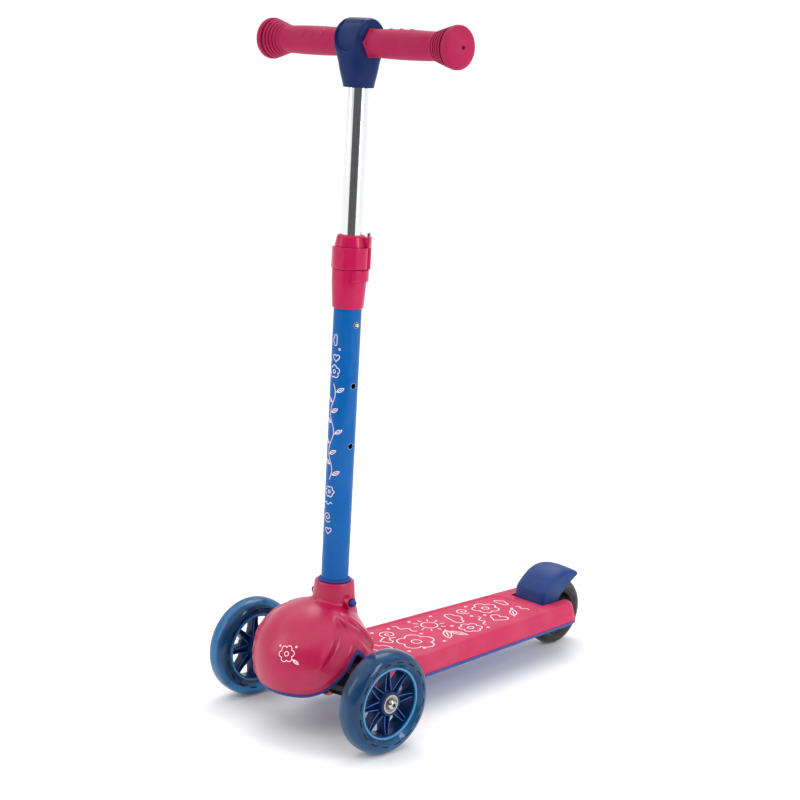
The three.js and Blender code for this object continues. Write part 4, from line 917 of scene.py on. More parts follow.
def inked(name: str, lines: list[Array], width: float,
          onto: Callable[[Array], Array]) -> Piece:
    """Ink strips of one width along lines in the plane, carried onto a surface.

    Each strip's edges lie half a width to both sides of its line, along the normal of the line.

    Args:
        name: The piece's name.
        lines: The lines, as points in the plane.
        width: The strip's width in millimetres.
        onto: Carries points in the plane onto the surface.

    Returns:
        The piece.
    """
    skins = []
    for line in lines:
        closed = len(line) > 3 and np.allclose(line[0], line[-1])
        if closed:
            line = line[:-1]
            way = np.roll(line, -1, 0) - np.roll(line, 1, 0)
        else:
            way = np.gradient(line, axis=0)
        way = way / (np.linalg.norm(way, axis=1, keepdims=True) + 1e-12)
        side = xyz(-way[:, 1], way[:, 0]) * width / 2
        grid = onto(np.stack([line - side, line + side]))
        skins.append(woven(grid, ring=closed))
    return solid(name, joined(skins), 60)


def cast(name: str, skin: Skin, look: Finish, body: Body, *nodes: str, crisp: float = 38) -> Piece:
    """A skin as a dressed piece, with crisp as the angle from which its edges stay sharp."""
    return dress(solid(name, skin, crisp), look, body, *nodes)


# Hood

@dataclass
class Hood:
    """The moulded hood over the front truck, with its arches, collar, buttons and liner."""

    middle: tuple[float, float, float] = (0.0, -189.5, 82.0)
    half: tuple[float, float, float] = (76.0, 80.0, 66.0)
    rear_half: float = 60.0
    taper: float = 0.35
    wall: float = 3.0
    arch_apex_z: float = 107.0
    arch_foot_z: float = 55.5
    arch_slope: float = 1.198
    arch_bend: float = 6.0
    arch_apex_r: float = 3.0
    deck_room_y: float = -162.7
    deck_room_z: float = 69.3
    crest: tuple[float, float, float] = (3.6, 25.5, 3.4)
    scoop: tuple[float, float, float] = (4.2, 16.5, 6.0)
    lip: tuple[float, float, float] = (1.3, 6.5, 3.6)
    fade: tuple[float, float] = (26.0, 44.0)
    fade_z: tuple[float, float] = (84.0, 106.0)
    neck: tuple[tuple[float, float], ...] = ((30.5, 113.0), (28.5, 131.5), (26.5, 138.0), (23.5, 164.0))
    shoulder_z: float = 164.0
    top_z: float = 168.0
    fillet: float = 4.5
    bore: float = 18.4
    inner_neck: tuple[float, float] = (24.0, 130.0)
    plate_rear: float = 36.0
    boss_r: float = 7.5
    boss_reach: float = 31.0
    button_z: float = 147.5
    columns: int = 288
    rows: int = 72
    search_deg: tuple[float, float] = (-62, 60)
    search_steps: int = 900
    plan_rounds: int = 14
    crease_rounds: int = 12

    def arch_height(self, y: Array) -> Array:
        """Height of the arch's edge: two slopes from a round apex that bend into a level foot.

        With A = apex - slope (sqrt(d^2 + r^2) - r), d from the axle, and B the foot's height, it
        is (A + B) / 2 + sqrt(((A - B) / 2)^2 + bend^2).

        Args:
            y: Places along the scooter.

        Returns:
            The edge's height at each.
        """
        reach = np.hypot(y - FRONT_AXLE_Y, self.arch_apex_r) - self.arch_apex_r
        side = self.arch_apex_z - self.arch_slope * reach
        return (side + self.arch_foot_z) / 2 + np.hypot((side - self.arch_foot_z) / 2, self.arch_bend)

    def arch_lean(self, y: Array) -> Array:
        """Length along the arch's edge for each millimetre of y."""
        return np.hypot(1, self.arch_height(y + 0.5) - self.arch_height(y - 0.5))

    def half_length(self, back: Array) -> Array:
        """Half the body's length behind its middle where back is positive, else ahead of it."""
        return np.where(back > 0, self.rear_half, self.half[1])

    def shell(self, around: Array, up: Array, inset: float) -> Array:
        """The hood's body at two angles, inset by a wall.

        It is (a T cos u cos v, b cos u sin v, c sin u), where behind the middle b is the shorter
        rear half and T = 1 - taper sin^2 v draws the sides in.

        Args:
            around: The angle v from above.
            up: The elevation u.
            inset: Distance in from the outer face.

        Returns:
            Points, in the shape of both angles together.
        """
        u, v = np.broadcast_arrays(up, around)
        rear = np.clip(np.sin(v), 0, None)
        a = (self.half[0] - inset) * (1 - self.taper * rear ** 2)
        b = self.half_length(rear) - inset
        return xyz(a * np.cos(u) * np.cos(v), self.middle[1] + b * np.cos(u) * np.sin(v),
                   self.middle[2] + (self.half[2] - inset) * np.sin(u))

    def plan(self, x: Array, y: Array, inset: float = 0) -> tuple[Array, Array]:
        """The angle v and the share cos u of the body's place that lies over x and y.

        Behind the middle T depends on v, so it is found by repeated substitution.

        Args:
            x: Places across.
            y: Places along.
            inset: Distance in from the outer face.

        Returns:
            The angles and the shares.
        """
        back = y - self.middle[1]
        down = back / (self.half_length(back) - inset)
        draw = np.ones_like(down)
        for _ in range(self.plan_rounds):
            across = x / ((self.half[0] - inset) * draw)
            share = np.hypot(across, down) + 1e-9
            draw = 1 - self.taper * np.clip(down / share, 0, 1) ** 2
        return np.arctan2(down, across), share

    def half_width(self, y: Array, z: Array) -> Array:
        """Half the body's width at a place along it and a height.

        Args:
            y: Places along.
            z: Heights.

        Returns:
            The half widths.
        """
        spread = np.sqrt(np.clip(1 - ((z - self.middle[2]) / self.half[2]) ** 2, 0, 1))
        back = y - self.middle[1]
        sine = np.clip(back / (self.half_length(back) * spread), -1, 1)
        draw = 1 - self.taper * np.clip(sine, 0, 1) ** 2
        return self.half[0] * draw * spread * np.sqrt(np.clip(1 - sine ** 2, 0.0002, 1))

    def formed(self, points: Array, around: Array) -> Array:
        """Adds the crest, the scoop and the lip beside the arch, each h e^-((d - d0) / w)^2.

        Args:
            points: Places on the body.
            around: Their angles from above, along which they move.

        Returns:
            The moved points.
        """
        y, z = points[..., 1], points[..., 2]
        away = (z - self.arch_height(y)) / self.arch_lean(y)
        side, high = soft_ramp(np.abs(points[..., 0]), *self.fade), soft_ramp(z, *self.fade_z)
        bump = [h * np.exp(-(((away - d) / w) ** 2)) for h, d, w in (self.crest, self.scoop, self.lip)]
        out = side * (high * (bump[0] - bump[1]) + bump[2])
        moved = points.copy()
        moved[..., 0] += out * np.cos(around)
        moved[..., 1] += out * np.sin(around)
        return moved

    def foot(self, around: Array, inset: float) -> Array:
        """The lowest elevation that the arch and the deck leave.

        Args:
            around: Angles round the body from above.
            inset: Distance in from the outer face.

        Returns:
            The elevation at each angle.
        """
        up = np.radians(np.linspace(*self.search_deg, self.search_steps))[:, None]
        point = self.shell(around[None, :], up, inset)
        free = point[..., 2] - self.arch_height(point[..., 1])
        deck = np.where(point[..., 1] > self.deck_room_y, point[..., 2] - self.deck_room_z, 1e3)
        kept = np.minimum(free, deck)
        below = kept < 0
        last = np.where(below.any(0), len(up) - 1 - below[::-1].argmax(0), 0)
        column = np.arange(len(around))
        low, high = kept[last, column], kept[np.minimum(last + 1, len(up) - 1), column]
        share = np.where(below.any(0), np.clip(-low / np.where(high == low, 1, high - low), 0, 1), 0)
        return up[last, 0] + share * (up[1, 0] - up[0, 0])

    def over(self, x: Array, y: Array, inset: float = 0) -> Array:
        """Height of the body's upper half over a place."""
        share = self.plan(x, y, inset)[1]
        return self.middle[2] + (self.half[2] - inset) * np.sqrt(np.clip(1 - share ** 2, 0, 1))

    def lower_rows(self, around: Array, inset: float, ring: Array) -> Array:
        """Rows from the foot up to a ring of places round the column, straight in both angles.

        Args:
            around: The foot's angles from above.
            inset: Distance in from the outer face.
            ring: The places where the rows end.

        Returns:
            Rows by columns by 3.
        """
        angle, share = self.plan(ring[:, 0], ring[:, 1], inset)
        swing = (angle - around + math.pi) % (2 * math.pi) - math.pi
        foot = self.foot(around, inset)
        t = np.linspace(0, 1, self.rows)[:, None]
        u = foot + (np.arccos(np.clip(share, 0, 1)) - foot) * t
        v = around + swing * soft_ramp(t, 0, 1)
        return self.formed(self.shell(v, u, inset), v)

    def neck_r(self, height: Array) -> Array:
        """The neck's radius at a height along the column."""
        table = np.array(self.neck)
        return smooth_through(np.clip(height, table[0, 1], table[-1, 1]), table[:, 1], table[:, 0])

    def build(self) -> Piece:
        """The hood as one closed skin.

        Rows run from the foot over the body, up a small fillet and the neck, over the collar's
        rounded top, down the bore and back under the wall to the foot. The crease between body
        and neck is found by raising each place on the neck until it meets the body.

        Returns:
            The piece, dressed.
        """
        angle = evenly(self.columns)

        def ring(r: float | Array, z: float | Array) -> Array:
            """A ring about the column at a radius and height, in the world."""
            return placed(polar(r, angle, z), COLUMN)

        crease = np.full(angle.shape, self.inner_neck[1])
        for _ in range(self.crease_rounds):
            at = ring(self.neck_r(crease), crease)
            crease = crease + 0.8 * (self.over(at[:, 0], at[:, 1]) - at[:, 2])
        outer = self.lower_rows(angle, 0, ring(self.neck_r(crease) + self.fillet, crease))
        inner = self.lower_rows(angle, self.wall, ring(*self.inner_neck))[::-1]
        corner, rise = ring(self.neck_r(crease), crease), crease + self.fillet * 0.9
        landing = ring(self.neck_r(rise), rise)
        fillet = bent(outer[-1], corner, landing, np.linspace(0, 1, 9)[1:, None, None])
        cone = []
        for share in np.linspace(0, 1, 14)[1:]:
            height = rise + (self.shoulder_z - rise) * share
            cone.append(ring(self.neck_r(height), height))
        top_r = self.neck[-1][0]
        lip = soft_path([[top_r, self.shoulder_z], [top_r - 0.5, self.top_z], [self.bore + 0.2, self.top_z],
                         [self.bore, 160]], [0, 4.0, 0.8, 0], 6, closed=False)[1:]
        over = [ring(r, z) for r, z in lip]
        down = [ring(self.bore + flare, z) for flare, z in ((0, 146.0), (0, 128.0), (3, 124.0))]
        grid = np.concatenate([outer, fillet, np.array(cone), np.array(over), np.array(down), inner])
        return cast("front_hood_shell", woven(grid, loop=True), HOOD_PINK, Body.FRAME, "front_hood", crisp=42)

    def bosses(self) -> Piece:
        """The two round bosses that hold the release buttons, each with a recess at its end.

        Returns:
            The piece, dressed.
        """
        reach, r, seat = self.boss_reach, self.boss_r, 19
        corners = [[4.4, seat + 5], [4.4, reach - 0.4], [5.2, reach], [r - 0.6, reach], [r + 0.5, seat],
                   [4.4, seat]]
        bosses = [spun(corners, [0, 0.3, 0.5, 2.6, 0, 0], 5, 56, across_column(self.button_z, side))
                  for side in Side]
        return cast("collar_bosses", joined(bosses), HOOD_PINK, Body.FRAME)

    def button(self, side: Side) -> Piece:
        """A release button: a flanged pin with a domed face.

        Args:
            side: Which button.

        Returns:
            The piece, dressed.
        """
        corners = [[0, 10.6], [5.4, 10.6], [5.4, 12.4], [4.0, 12.4], [4.0, 35.2], [2.6, 36.5], [0, 36.5]]
        place, body = across_column(self.button_z, side), Body[f"BUTTON_{side.name}"]
        skin = spun(corners, [0, 0.3, 0.3, 0.3, 1.2, 0.8, 0], 4, 40, place, closed=False)
        return cast(f"button_{side.word}", skin, BUSH_NAVY, body, f"release_button_{side.word}")

    def liner(self) -> Piece:
        """The blue liner: a plate under the nose and a trim along both arches' edges.

        A place at depth d below the edge is (s X, y, arch(y) - d lean), X the body's half width
        there. The plate runs from side to side, the trim is as wide as the wall.

        Returns:
            The piece, dressed.
        """
        lean = math.hypot(1, self.arch_slope)
        depths, insets = np.array([0.35, 0.6, 2.9, 3.3]), np.array([0.4, -0.2, -0.2, 0.4])
        start = FRONT_AXLE_Y - self.plate_rear

        def side(y: Array, extra: float) -> Array:
            """Rows of the outer face at each depth.

            Args:
                y: Places along the scooter.
                extra: A further inset.

            Returns:
                Depths by places by 3.
            """
            z = self.arch_height(y)[None] - depths[:, None] * lean
            x = self.half_width(y, z) - insets[:, None] - extra
            return xyz(np.maximum(x, 0.05), y, z)

        plate_y = start + np.linspace(0, 1, 90) ** 0.7 * (self.nose_y() - start)
        right = side(plate_y, 0.0)
        plate = np.concatenate([right, right[::-1] * (-1, 1, 1)]).transpose(1, 0, 2)
        trim_y = np.linspace(start - 8, self.deck_room_y - 0.4, 120)
        trim = np.concatenate([side(trim_y, 0.0), side(trim_y, self.wall - 0.3)[::-1]]).transpose(1, 0, 2)
        skins = [woven(grid, caps=True) for grid in (plate, trim, trim * (-1, 1, 1))]
        return cast("nose_liner", joined(skins), LINER_BLUE, Body.FRAME, "nose_pan", crisp=40)

    def nose_y(self) -> float:
        """Where the plate's underside leaves the body at the very front.

        Returns:
            The place along the scooter.
        """
        y = np.linspace(self.middle[1] - self.half[1], FRONT_AXLE_Y - 40, 4000)
        z = self.arch_height(y) - 3.4 * math.hypot(1, self.arch_slope)
        inside = 1 - ((y - self.middle[1]) / self.half[1]) ** 2 - ((z - self.middle[2]) / self.half[2]) ** 2
        return float(y[np.argmax(inside > 0.0006)])

    def emblem(self) -> Piece:
        """A small printed flower on the hood's front left.

        Returns:
            The piece, dressed.
        """
        centre_around, centre_up = math.radians(-71), math.radians(20)

        def onto(p: Array) -> Array:
            """Carries the plane onto the body near the emblem's middle, a hair proud of it."""
            u = centre_up + p[..., 1] / self.half[2]
            v = centre_around + p[..., 0] / (self.half[0] * math.cos(centre_up))
            return self.shell(v, u, -0.06)

        lines = laid((blossom(6, 9.5), 0, 0, 12), (leaf(8, 3.4), 12.5, -7.5, -30), (dot(0.9), -11, 7),
                     (dot(0.9), 10, 9))
        return dress(inked("hood_print", lines, 0.8, onto), INK, Body.FRAME)


# Deck

@dataclass
class Deck:
    """The standing deck: a moulded shell with a sunk panel and its print, on a blue tray."""

    front_y: float = -159.5
    rear_y: float = 222.5
    front_half: float = 65.0
    rear_half: float = 50.5
    foot_z: float = 45.6
    top_z: float = 69.0
    lean: float = 8.0
    side_share: float = 0.45
    shoulder: float = 5.0
    corners: tuple[float, float] = (14.0, 15.0)
    panel_depth: float = 0.9
    panel_front_y: float = -155.5
    panel_rear_y: float = 158.5
    panel_corner: float = 16.0
    hood_gap: float = 5.2
    slot_half: float = 28.4
    slot_y: float = 171.5
    corner_steps: int = 14
    side_steps: int = 30

    def half_at(self, y: Array | float) -> Array | float:
        """Half width of the deck's foot at a place along it."""
        taper = self.rear_half - self.front_half
        return self.front_half + taper * (y - self.front_y) / (self.rear_y - self.front_y)

    def outline(self, inset: float, front_y: float, rear_y: float, radii: tuple[float, float]) -> Array:
        """A rounded outline that tapers with the deck.

        Args:
            inset: Distance in from the deck's sides.
            front_y: Its front edge.
            rear_y: Its rear edge.
            radii: Corner radii at the front and the rear.

        Returns:
            Points in the plane, the same number for every outline.
        """
        front, rear = self.half_at(front_y) - inset, self.half_at(rear_y) - inset
        quarter = np.linspace(0, math.pi / 2, self.corner_steps)
        runs = []
        for x, y, r, start in ((rear, rear_y, radii[1], 0), (-rear, rear_y, radii[1], 1),
                               (-front, front_y, radii[0], 2), (front, front_y, radii[0], 3)):
            cx, cy = x - math.copysign(r, x), y - math.copysign(r, y - (front_y + rear_y) / 2)
            runs.append(polar(r, quarter + start * math.pi / 2) + (cx, cy))
        parts = []
        for i, run in enumerate(runs):
            t = np.linspace(0, 1, self.side_steps + 2)[1:-1, None]
            parts.extend([run, run[-1] + (runs[(i + 1) % 4][0] - run[-1]) * t])
        return np.concatenate(parts)

    def shell(self) -> Piece:
        """The shell: outlines stacked up the sides, over a round shoulder and into the panel.

        With s as the side's share of the lean, the shoulder's inset is s + (lean - s)(1 - cos a)
        and its height top - shoulder (1 - sin a).

        Returns:
            The piece, dressed.
        """
        side, rise = self.lean * self.side_share, self.top_z - self.shoulder
        levels = [(0.5, self.foot_z), (0.0, self.foot_z + 0.5)]
        levels += [(side * t, self.foot_z + (rise - self.foot_z) * t) for t in (0.35, 0.7)]
        levels += [(side + (self.lean - side) * (1 - math.cos(a)), rise + self.shoulder * math.sin(a))
                   for a in np.linspace(0, math.pi / 2, 9)]
        rings = []
        for inset, z in levels:
            plan = self.outline(inset, self.front_y + inset, self.rear_y - inset, self.corners)
            rings.append(np.insert(plan, 2, z, 1))
        step = soft_path([[2.4, 0.0], [3.0, 0.0], [3.5, -self.panel_depth], [4.6, -self.panel_depth]],
                         [0, 0.35, 0.35, 0], 3, closed=False)
        for out, drop in step:
            extra = out - 3.0
            ring = self.outline(self.lean + out, self.panel_front_y + extra, self.panel_rear_y - extra,
                                (3.0, self.panel_corner))
            rings.append(np.insert(ring, 2, self.top_z + drop, 1))
        piece = solid("deck_top", woven(np.array(rings), caps=True), 40)
        half, depth = self.slot_half, self.slot_y
        corner = soft_path([[-half, depth], [half, depth], [half, 260], [-half, 260]], [3.0, 3.0, 0, 0], 6)
        slot = np.stack([np.insert(corner, 2, z, 1) for z in (20.0, 90.0)])
        carved(piece, [woven(slot, caps=True)], 40)
        eased(piece, 0.7, 2, 60)
        sharp_from(piece.data, 40)
        return dress(piece, DECK_PINK, Body.FRAME, "deck_shell")

    def landing(self, hood: Hood) -> Piece:
        """The level landing round the hood's foot, where the sunk panel stops short.

        Its rear edge is the hood's outline from above, grown by a gap; its front edge lies under
        the hood.

        Args:
            hood: The hood to keep clear of.

        Returns:
            The piece, dressed.
        """
        half, top = float(self.half_at(self.panel_front_y)) - self.lean - 2.6, self.top_z
        x = np.linspace(-half, half, 61)
        curve = hood.shell(np.linspace(0, math.pi, 400), np.array(0.0), -self.hood_gap)
        rear = np.interp(x, curve[::-1, 0], curve[::-1, 1])
        rows = []
        for inset, z in ((0.0, top - self.panel_depth - 0.1), (0.0, top - 0.35), (0.35, top - 0.02)):
            rows.append(np.concatenate([xyz(x, rear - inset, z), xyz(x, self.panel_front_y - 0.6, z)[::-1]]))
        return cast("deck_landing", woven(np.array(rows), caps=True), DECK_PINK, Body.FRAME, crisp=50)

    def tray(self) -> Piece:
        """The tray with the fork's arms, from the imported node."""
        return dress(cad_copy("base_tray", "tray_and_fork", 0.5), RIM_LINE_BLUE, Body.FRAME, "base_tray")

    def artwork(self) -> Piece:
        """A print of clouds, leaves, flowers, hearts and curls over the panel.

        Returns:
            The piece, dressed.
        """
        motifs = [
            (cloud(21), 12, -98, 14), (leaf(30, 12), -29, -96, 70), (curl(13, 1.9), -22, -58, 40),
            (blossom(5, 24), 18, -48, 10), (ripple(34, 3.0, 2), -24, -28, 24), (heart(9), -8, -74, -20),
            (sun(21, 10), -14, 6), (leaf(28, 11), 24, 0, -35), (leaf(24, 10), 30, 14, 20),
            (cloud(18), -12, 48, -12), (blossom(6, 15), 25, 40), (curl(10, 1.7), -24, 76, 120),
            (ripple(30, 2.6, 2), 16, 70, -25),
            (heart(12), 22, 94, 15), (blossom(5, 18), -14, 108, 30), (leaf(24, 10), 20, 124, 140),
            (cloud(11), -16, 140, 4), (ripple(20, 2.0, 1.5), 16, 146, 10)]
        motifs += [(dot(1.5), x, y) for x, y in (
            (36, -78), (-38, -70), (2, -24), (38, -20), (-38, -6), (6, 26), (38, 58), (-36, 30), (-4, 72),
            (4, 88), (-34, 92), (8, 134), (-36, -44), (40, -56))]
        height = self.top_z - self.panel_depth + 0.05
        onto = lambda p: xyz(p[..., 0], p[..., 1], height)
        return dress(inked("deck_print", laid(*motifs), 1.35, onto), INK, Body.FRAME)


# Column, clamp and handlebar

@dataclass
class Column:
    """The blue tube, its bushes, the height tube that slides in it and the snap stud."""

    r: float = 16.0
    wall: float = 1.6
    foot_z: float = 99.0
    top_z: float = 553.0
    stud_z: float = 470.0
    hole_r: float = 3.5
    pitch: float = 70.0
    mast_r: float = 12.0
    mast_wall: float = 1.5
    mast_foot_z: float = 452.0
    mast_top_z: float = 770.6

    def bored(self, piece: Piece, heights: Sequence[float], near: float, far: float) -> Piece:
        """Bores the stud's holes into a tube's left side.

        Args:
            piece: The tube.
            heights: Each hole's height.
            near: Where a hole begins, out from the axis.
            far: Where it ends.

        Returns:
            The same tube.
        """
        path = np.array([[0, near], [self.hole_r, near], [self.hole_r, far], [0, far]], float)
        return carved(piece, [revolved(path, 32, across_column(height)) for height in heights], 40)

    def tube(self) -> Piece:
        """The painted tube with its three setting holes on the left.

        Returns:
            The piece, dressed.
        """
        skin = pipe(self.r, self.r - self.wall, self.foot_z, self.top_z, 0.4, 160, COLUMN)
        heights = [self.stud_z - i * self.pitch for i in range(3)]
        piece = self.bored(solid("lower_tube_paint", skin), heights, 8, 22)
        return dress(piece, TUBE_BLUE, Body.FRAME, "lower_tube")

    def hole_rims(self) -> Piece:
        """Bright bare rims where the paint stops at each hole, as thin rings bent to the tube.

        Returns:
            The piece, dressed.
        """
        skins = []
        ring, section = evenly(48), evenly(8)[:, None]
        for i in range(3):
            rr = self.hole_r + 0.12 + 0.22 * np.cos(section)
            u, v = rr * np.cos(ring), rr * np.sin(ring)
            out = np.sqrt(self.r ** 2 - u ** 2) + 0.02 + 0.16 * np.sin(section)
            grid = xyz(out, u, v + self.stud_z - i * self.pitch)
            skins.append(woven(placed(grid, COLUMN), loop=True))
        return cast("hole_rims", joined(skins), ZINC, Body.FRAME)

    def bush(self) -> Piece:
        """The navy bush that stands out of the collar round the tube.

        Returns:
            The piece, dressed.
        """
        corners = [[16.3, 98], [18.1, 98], [18.1, 168.3], [19.1, 168.3], [19.1, 170.2], [17.4, 171.5],
                   [16.3, 171.5]]
        skin = spun(corners, [0, 0, 0, 0.3, 0.5, 0.5, 0.2], 3, 96, COLUMN)
        return cast("column_bush_ring", skin, BUSH_NAVY, Body.FRAME, "column_bush")

    def mast(self) -> Piece:
        """The chromed tube, with the stud's hole.

        Returns:
            The piece, dressed.
        """
        r, bore = self.mast_r, self.mast_r - self.mast_wall
        skin = pipe(r, bore, self.mast_foot_z, self.mast_top_z, 0.3, 160, COLUMN)
        piece = self.bored(solid("mast_chrome", skin), [self.stud_z], 6, 18)
        return dress(piece, CHROME, Body.MAST, "upper_tube")

    def stud(self) -> Piece:
        """The brass stud with its domed head.

        Returns:
            The piece, dressed.
        """
        corners = [[0, 8.9], [2.6, 8.9], [2.6, 16.6], [1.9, 18.2], [0, 18.2]]
        skin = spun(corners, [0, 0.3, 1.4, 1.6, 0], 5, 40, across_column(self.stud_z), closed=False)
        return cast("stud_brass", skin, BRASS, Body.STUD, "snap_stud")

    def artwork(self) -> Piece:
        """A climbing print on the tube's front: leaves either side of a wavy stem, with flowers.

        Returns:
            The piece, dressed.
        """
        t = np.linspace(0, 1, 260)
        stem = xyz(3.2 * np.sin(2 * math.pi * 2.5 * t), 290 + 112 * t)
        motifs = [(leaf(9.5, 4.4), x + side * 6.2, z + 2.4, 90 - side * 62)
                  for (x, z), side in zip(stem[14::28], (1, -1) * 5)]
        motifs += [
            (blossom(5, 7.5), 0, 416, 18), (heart(4.6), 2, 432), (dot(1.2), -7, 428),
            (cloud(6.5), 0, 452, 90), (dot(1.0), 6, 442), (blossom(6, 6.5), 1, 276),
            (ripple(12, 1.3, 1.5), 0, 262),
            (curl(6.5, 1.7), 0, 246, 60), (dot(1.1), -8, 256), (heart(4.2), 2, 230)]

        def onto(p: Array) -> Array:
            """Wraps the plane round the tube, with its middle at the front."""
            return placed(polar(self.r + 0.05, p[..., 0] / self.r - math.pi / 2, p[..., 1]), COLUMN)

        return dress(inked("tube_print", [stem] + laid(*motifs), 0.75, onto), INK, Body.FRAME)


@dataclass
class Clamp:
    """The quick clamp at the top of the blue tube: sleeve, ring, hinge lugs, lever and pin."""

    pivot_deg: float = 50.0
    pivot_r: float = 20.0
    band: tuple[float, float] = (532.5, 557.5)

    @property
    def pivot(self) -> Array:
        """The lever's hinge, in the column's frame."""
        a = math.radians(self.pivot_deg)
        return shift(self.pivot_r * math.cos(a), self.pivot_r * math.sin(a), 0)

    def body(self) -> Piece:
        """The sleeve and ring as one turned path, with the two lugs swept on to it.

        Returns:
            The piece, dressed.
        """
        low, high = self.band
        corners = [[16.3, 488], [17.3, 488], [18.0, 489.5], [19.9, 519], [19.9, low - 0.3], [17.6, low - 0.3],
                   [17.6, high + 0.3], [18.4, high + 0.3], [16.0, 569.5], [14.6, 571], [12.9, 571],
                   [12.9, 556], [16.3, 555.8]]
        skins = [spun(corners, [0.3, 0.5, 2.5, 6, 0.7, 0.2, 0.2, 0.7, 1.2, 0.8, 0.5, 0, 0], 4, 144, COLUMN)]
        p = self.pivot_deg
        for r, start, z0, z1 in ((22.0, p - 86, 519.0, low - 0.3), (23.4, p - 34, high + 0.3, 569.5)):
            section = soft_path([[15.5, z0], [r, z0], [r, z1], [15.5, z1]], [0.2, 0.9, 0.9, 0.2], 4)
            skins.append(swept_arc(section, start, p + 12, 40, 0.9, COLUMN))
        return cast("clamp_shell", joined(skins), CLAMP_PINK, Body.FRAME, "clamp_body", crisp=34)

    def lever(self) -> Piece:
        """The lever: a rounded band bent round the front, with an eye on the pin.

        The band's radius grows by a millimetre over its last 12 degrees, which lifts the tip.

        Returns:
            The piece, dressed.
        """
        low, high = self.band
        section = soft_path([[18.05, low], [20.2, low], [20.2, high], [18.05, high]], [0.3, 1.0, 1.0, 0.3], 4)
        band = swept_arc(section, self.pivot_deg - 6, self.pivot_deg - 188, 120, 1.0)
        a = np.degrees(np.unwrap(np.arctan2(band.points[:, 1], band.points[:, 0])))
        a = np.where(a > 120, a - 360, a)
        r = np.hypot(band.points[:, 0], band.points[:, 1])
        band.points[:, :2] *= ((r + ramp(self.pivot_deg - 176 - a, 0, 12)) / r)[:, None]
        eye = pipe(3.4, 1.9, low, high, 0.5, 40, self.pivot)
        skin = joined([band, eye]).placed(COLUMN)
        return cast("lever_band", skin, CLAMP_PINK, Body.LEVER, "clamp_lever", crisp=34)

    def pin(self) -> Piece:
        """The hinge pin with a small screw head above the lug.

        Returns:
            The piece, dressed.
        """
        corners = [[0, 519.2], [1.5, 519.2], [1.5, 570], [2.2, 570.2], [2.2, 573], [1.4, 574], [0, 574]]
        skin = spun(corners, [0, 0.2, 0, 0.1, 0.5, 0.4, 0], 3, 32, COLUMN @ self.pivot, closed=False)
        return cast("hinge_pin", skin, ZINC, Body.FRAME, "clamp_pin")


